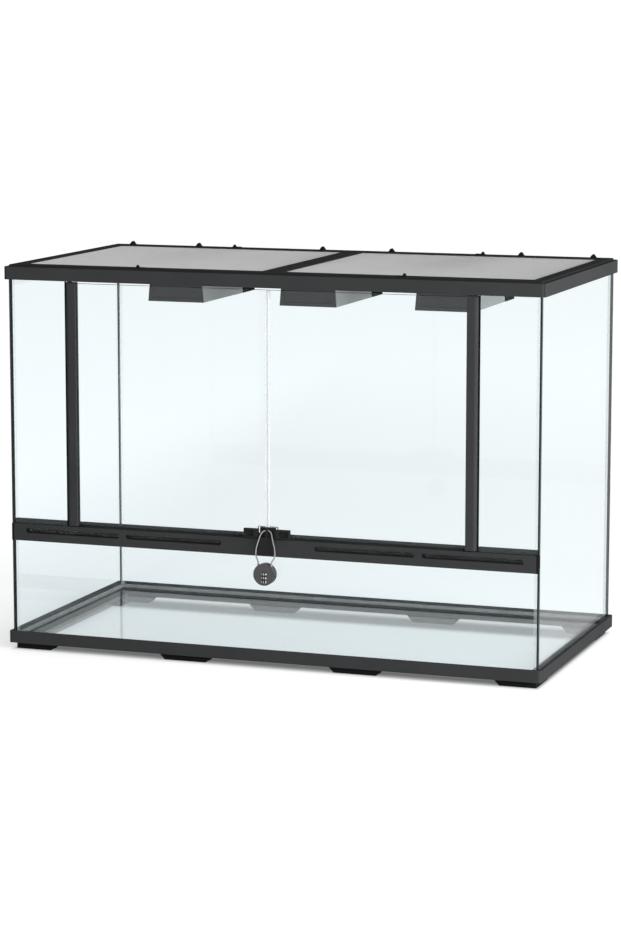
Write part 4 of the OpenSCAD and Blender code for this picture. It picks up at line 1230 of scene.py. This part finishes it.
class TERRARIUM_OT_lamps(bpy.types.Operator):
    """Make the lampholders and the lamps"""
    bl_idname = "terrarium.lamps"
    bl_label = "Lamps"

    def execute(self, context):
        dressed("lampholder_rings", "lampholders", 0.8 * MM, white_ceramic, steps=3)
        low, high = box_of("lamps")
        middle_z = (low.z + high.z) / 2
        form = bmesh.new()
        for side in SIDES:
            left, right = box_of(side + "_hood_shell")
            self.lamp(form, Vector(((left.x + right.x) / 2, high.y, middle_z)), low.y)
        new_piece("lamp_bulbs", outward(form), [opal_lamp, bright_steel], "lamps", crisp=60)
        return {"FINISHED"}

    def lamp(self, form, back, front):
        """A lamp with a threaded cap, a base and four folded tubes."""
        pitch = sizes_now().thread_pitch
        place = along(back, (0, -1, 0))
        rows = [(0, 0), (0, 4 * MM), (1.6 * MM, 5 * MM), (2.2 * MM, 9 * MM)]
        for k in range(THREAD_STEPS + 1):
            height = 3 * MM + (CAP_LENGTH - 3.4 * MM) * k / THREAD_STEPS
            sunk = THREAD_DEPTH * (0.5 - 0.5 * math.cos(2 * math.pi * height / pitch))
            rows.append((height, CAP_RADIUS - sunk))
        turned(form, [*rows, (CAP_LENGTH, CAP_RADIUS), (CAP_LENGTH, 0)], place, 40, slot=1)
        rows = [(CAP_LENGTH, 0), (CAP_LENGTH, 13.2 * MM), (CAP_LENGTH + 3 * MM, 14.5 * MM),
                (CAP_LENGTH + 5 * MM, BASE_RADIUS), (BASE_END - 2 * MM, BASE_RADIUS),
                (BASE_END - 0.6 * MM, BASE_RADIUS - 0.6 * MM), (BASE_END, BASE_RADIUS - 2 * MM),
                (BASE_END, 0)]
        turned(form, rows, place, 40)
        root, bend = back.y - BASE_END + MM, front + TUBE_RADIUS + TUBE_SPREAD
        for sign in (-1, 1):
            x = back.x + sign * TUBE_SPREAD
            path = [Vector((x, root, back.z - TUBE_SPREAD))]
            for angle in range(0, 181, 15):
                turn = math.radians(angle)
                path.append(Vector((x, bend - TUBE_SPREAD * math.sin(turn),
                                    back.z - TUBE_SPREAD * math.cos(turn))))
            path.append(Vector((x, root, back.z + TUBE_SPREAD)))
            tube(form, path, TUBE_RADIUS, 20)


# Fittings

STEEL_FITTINGS = (
    "rail_magnets", "left_handle_magnet", "right_handle_magnet", "left_hinge_pins", "right_hinge_pins",
)


class TERRARIUM_OT_fittings(bpy.types.Operator):
    """Finish the magnets and the hinge pins"""
    bl_idname = "terrarium.fittings"
    bl_label = "Fittings"

    def execute(self, context):
        for node in STEEL_FITTINGS:
            dressed(node + "_steel", node, 0.3 * MM, bright_steel)
        return {"FINISHED"}


# Stage

# Name, place, width and power of each lamp
LIGHTS = (("right light", (4.2, -1.4, 1.1), 2.4, 280), ("front light", (1.4, -4.4, 1.5), 2.6, 60))
AIM_HEIGHT = 0.32
ROOM_LIGHT = 0.46
WHITE = (1, 1, 1)
FLOOR_REACH = 14
# Floor colour in the painted shadow under the rim of the base, and in the open
FLOOR_PAINTED_SHADOW = (0.15, 0.15, 0.15)
FLOOR_OPEN = (0.72, 0.72, 0.72)
# White that the floor adds of itself where it is seen: everywhere, in the open, and far off; it adds less
# under the rim, as painted shadow
WHITE_LEAST = 0.12
WHITE_OPEN = 0.36
WHITE_FAR = 0.19
# Bands of the floor by distance from the base's outline, the first two shaping the painted shadow: where each
# starts and ends, and its values there
BAND_WITHIN = (-0.1, -0.06, 0.85, 0)
BAND_OUTSIDE = (-0.034, 0.012, 0, 1)
BAND_FAR = (0.3, 4, 0, 1)
# At its sides the base's shadow ends sooner
SIDE_SLOPE = 4.6
SIDE_SHIFT = 0.0235


def lamp_over(context, name, place, size, power):
    """A soft light aimed at the middle of the piece."""
    light = bpy.data.lights.new(name, "AREA")
    light.shape = "DISK"
    light.size = size
    light.energy = power
    holder = bpy.data.objects.new(name, light)
    context.scene.collection.objects.link(holder)
    holder.location = place
    # Kept out of the reflections in the glass
    holder.visible_glossy = False
    aim = Vector(place) - Vector((0, 0, AIM_HEIGHT))
    holder.rotation_euler = aim.to_track_quat("Z", "Y").to_euler()


class TERRARIUM_OT_stage(bpy.types.Operator):
    """Set out the white floor, the room light and the lamps"""
    bl_idname = "terrarium.stage"
    bl_label = "Stage"

    def execute(self, context):
        self.room(context)
        self.floor(context)
        for light in LIGHTS:
            lamp_over(context, *light)
        context.scene.view_settings.view_transform = "Standard"
        # Enough for a ray that crosses both faces of several panes and the woven lids
        context.scene.cycles.transparent_max_bounces = 32
        return {"FINISHED"}

    def seen(self, nodes):
        """1 for rays that look at the backdrop, else 0."""
        total = sum((nodes.add("ShaderNodeLightPath", None, None, kind)
                     for kind in ("Is Camera Ray", "Is Glossy Ray", "Is Transmission Ray")), 0.0)
        return nodes.add("ShaderNodeMath", {"operation": "MINIMUM"}, {0: total, 1: 1.0})

    def room(self, context):
        """White where it is seen, and a plain even light on everything else."""
        world = bpy.data.worlds.new("room")
        world.use_nodes = True
        context.scene.world = world
        nodes = Nodes(world.node_tree)
        nodes.tree.nodes.clear()
        white = nodes.add("ShaderNodeBackground", None, {"Color": WHITE, "Strength": 1.0})
        plain = nodes.add("ShaderNodeBackground", None, {"Color": WHITE, "Strength": ROOM_LIGHT})
        mixed = nodes.add("ShaderNodeMixShader", None, {0: self.seen(nodes), 1: plain, 2: white})
        nodes.put(mixed, nodes.tree.nodes.new("ShaderNodeOutputWorld").inputs["Surface"])

    def painted_shadow_shares(self, finish):
        """The painted shadow's mask, least in a band under the rim of the base and 1 in the open, and how far
        off the floor is.
        """
        high = box_of("base_frame")[1]
        along_x, along_y = (self.from_middle(finish, axis) for axis in "XY")
        beside = (along_x - high.x) * SIDE_SLOPE + SIDE_SHIFT
        away = finish.add("ShaderNodeMath", {"operation": "MAXIMUM"}, {0: beside, 1: along_y - high.y})
        within, outside, far = (self.eased(finish, away, band)
                                for band in (BAND_WITHIN, BAND_OUTSIDE, BAND_FAR))
        return finish.add("ShaderNodeMath", {"operation": "MAXIMUM"}, {0: within, 1: outside}), far

    def from_middle(self, finish, axis):
        """Distance from the middle along an axis."""
        along_axis = finish.add("ShaderNodeSeparateXYZ", None, {0: finish.place}, axis)
        return finish.add("ShaderNodeMath", {"operation": "ABSOLUTE"}, {0: along_axis})

    def eased(self, finish, value, band):
        """A smooth step from a band's start to its end."""
        start, end, before, after = band
        return finish.add("ShaderNodeMapRange", {"interpolation_type": "SMOOTHSTEP"},
                          {0: value, 1: start, 2: end, 3: before, 4: after})

    def floor(self, context):
        """A white floor with a soft shadow, partly cast by the lights and partly painted in its colour and
        its glow.
        """
        form = bmesh.new()
        form.faces.new([form.verts.new((x * FLOOR_REACH, y * FLOOR_REACH, cad_box[0][2]))
                        for x, y in ((-1, -1), (1, -1), (1, 1), (-1, 1))])
        mesh = bpy.data.meshes.new("floor")
        form.to_mesh(mesh)
        form.free()
        floor = bpy.data.objects.new("floor", mesh)
        context.scene.collection.objects.link(floor)
        finish = Finish("white floor")
        outside_painted_shadow, far = self.painted_shadow_shares(finish)
        plain = finish.body(
            # Darker floor colour in the band under the rim: painted shadow
            Base_Color=finish.blend(FLOOR_PAINTED_SHADOW, FLOOR_OPEN, outside_painted_shadow),
            Roughness=1.0,
            Specular_IOR_Level=0.0,
        )
        glow = finish.add("ShaderNodeEmission", None, {"Color": WHITE, "Strength": 1.0})
        lit = finish.add("ShaderNodeAddShader", None, {0: plain, 1: glow})
        # Less glow in the band under the rim: painted shadow
        share = self.seen(finish) * (outside_painted_shadow * WHITE_OPEN + far * WHITE_FAR + WHITE_LEAST)
        mixed = finish.add("ShaderNodeMixShader", None, {0: share, 1: plain, 2: lit})
        mesh.materials.append(finish.done(mixed))


# In the order in which they run
STEPS = (
    TERRARIUM_OT_camera, TERRARIUM_OT_padlock, TERRARIUM_OT_mouldings, TERRARIUM_OT_feet, TERRARIUM_OT_panes,
    TERRARIUM_OT_silicone, TERRARIUM_OT_woven_panels, TERRARIUM_OT_hoods, TERRARIUM_OT_lamps,
    TERRARIUM_OT_fittings, TERRARIUM_OT_stage,
)


class TERRARIUM_PT_panel(bpy.types.Panel):
    """Steps and sizes of the terrarium"""
    bl_idname = "TERRARIUM_PT_panel"
    bl_label = "Terrarium"
    bl_space_type = "VIEW_3D"
    bl_region_type = "UI"
    bl_category = "Terrarium"

    def draw(self, context):
        for step in STEPS:
            self.layout.operator(step.bl_idname)
        for group in (context.scene.terrarium_sizes, context.scene.terrarium_colours):
            box = self.layout.box()
            for name in group.__annotations__:
                box.prop(group, name)


CLASSES = (TerrariumSizes, TerrariumColours, *STEPS, TERRARIUM_PT_panel)


def register():
    """Register the classes and the settings."""
    for cls in CLASSES:
        bpy.utils.register_class(cls)
    bpy.types.Scene.terrarium_sizes = PointerProperty(type=TerrariumSizes)
    bpy.types.Scene.terrarium_colours = PointerProperty(type=TerrariumColours)


def unregister():
    """Remove the settings and the classes."""
    del bpy.types.Scene.terrarium_colours
    del bpy.types.Scene.terrarium_sizes
    for cls in reversed(CLASSES):
        bpy.utils.unregister_class(cls)


def main():
    """Make every piece in order."""
    register()
    for step in STEPS:
        group, name = step.bl_idname.split(".")
        getattr(getattr(bpy.ops, group), name)()


if __name__ == "__main__":
    main()
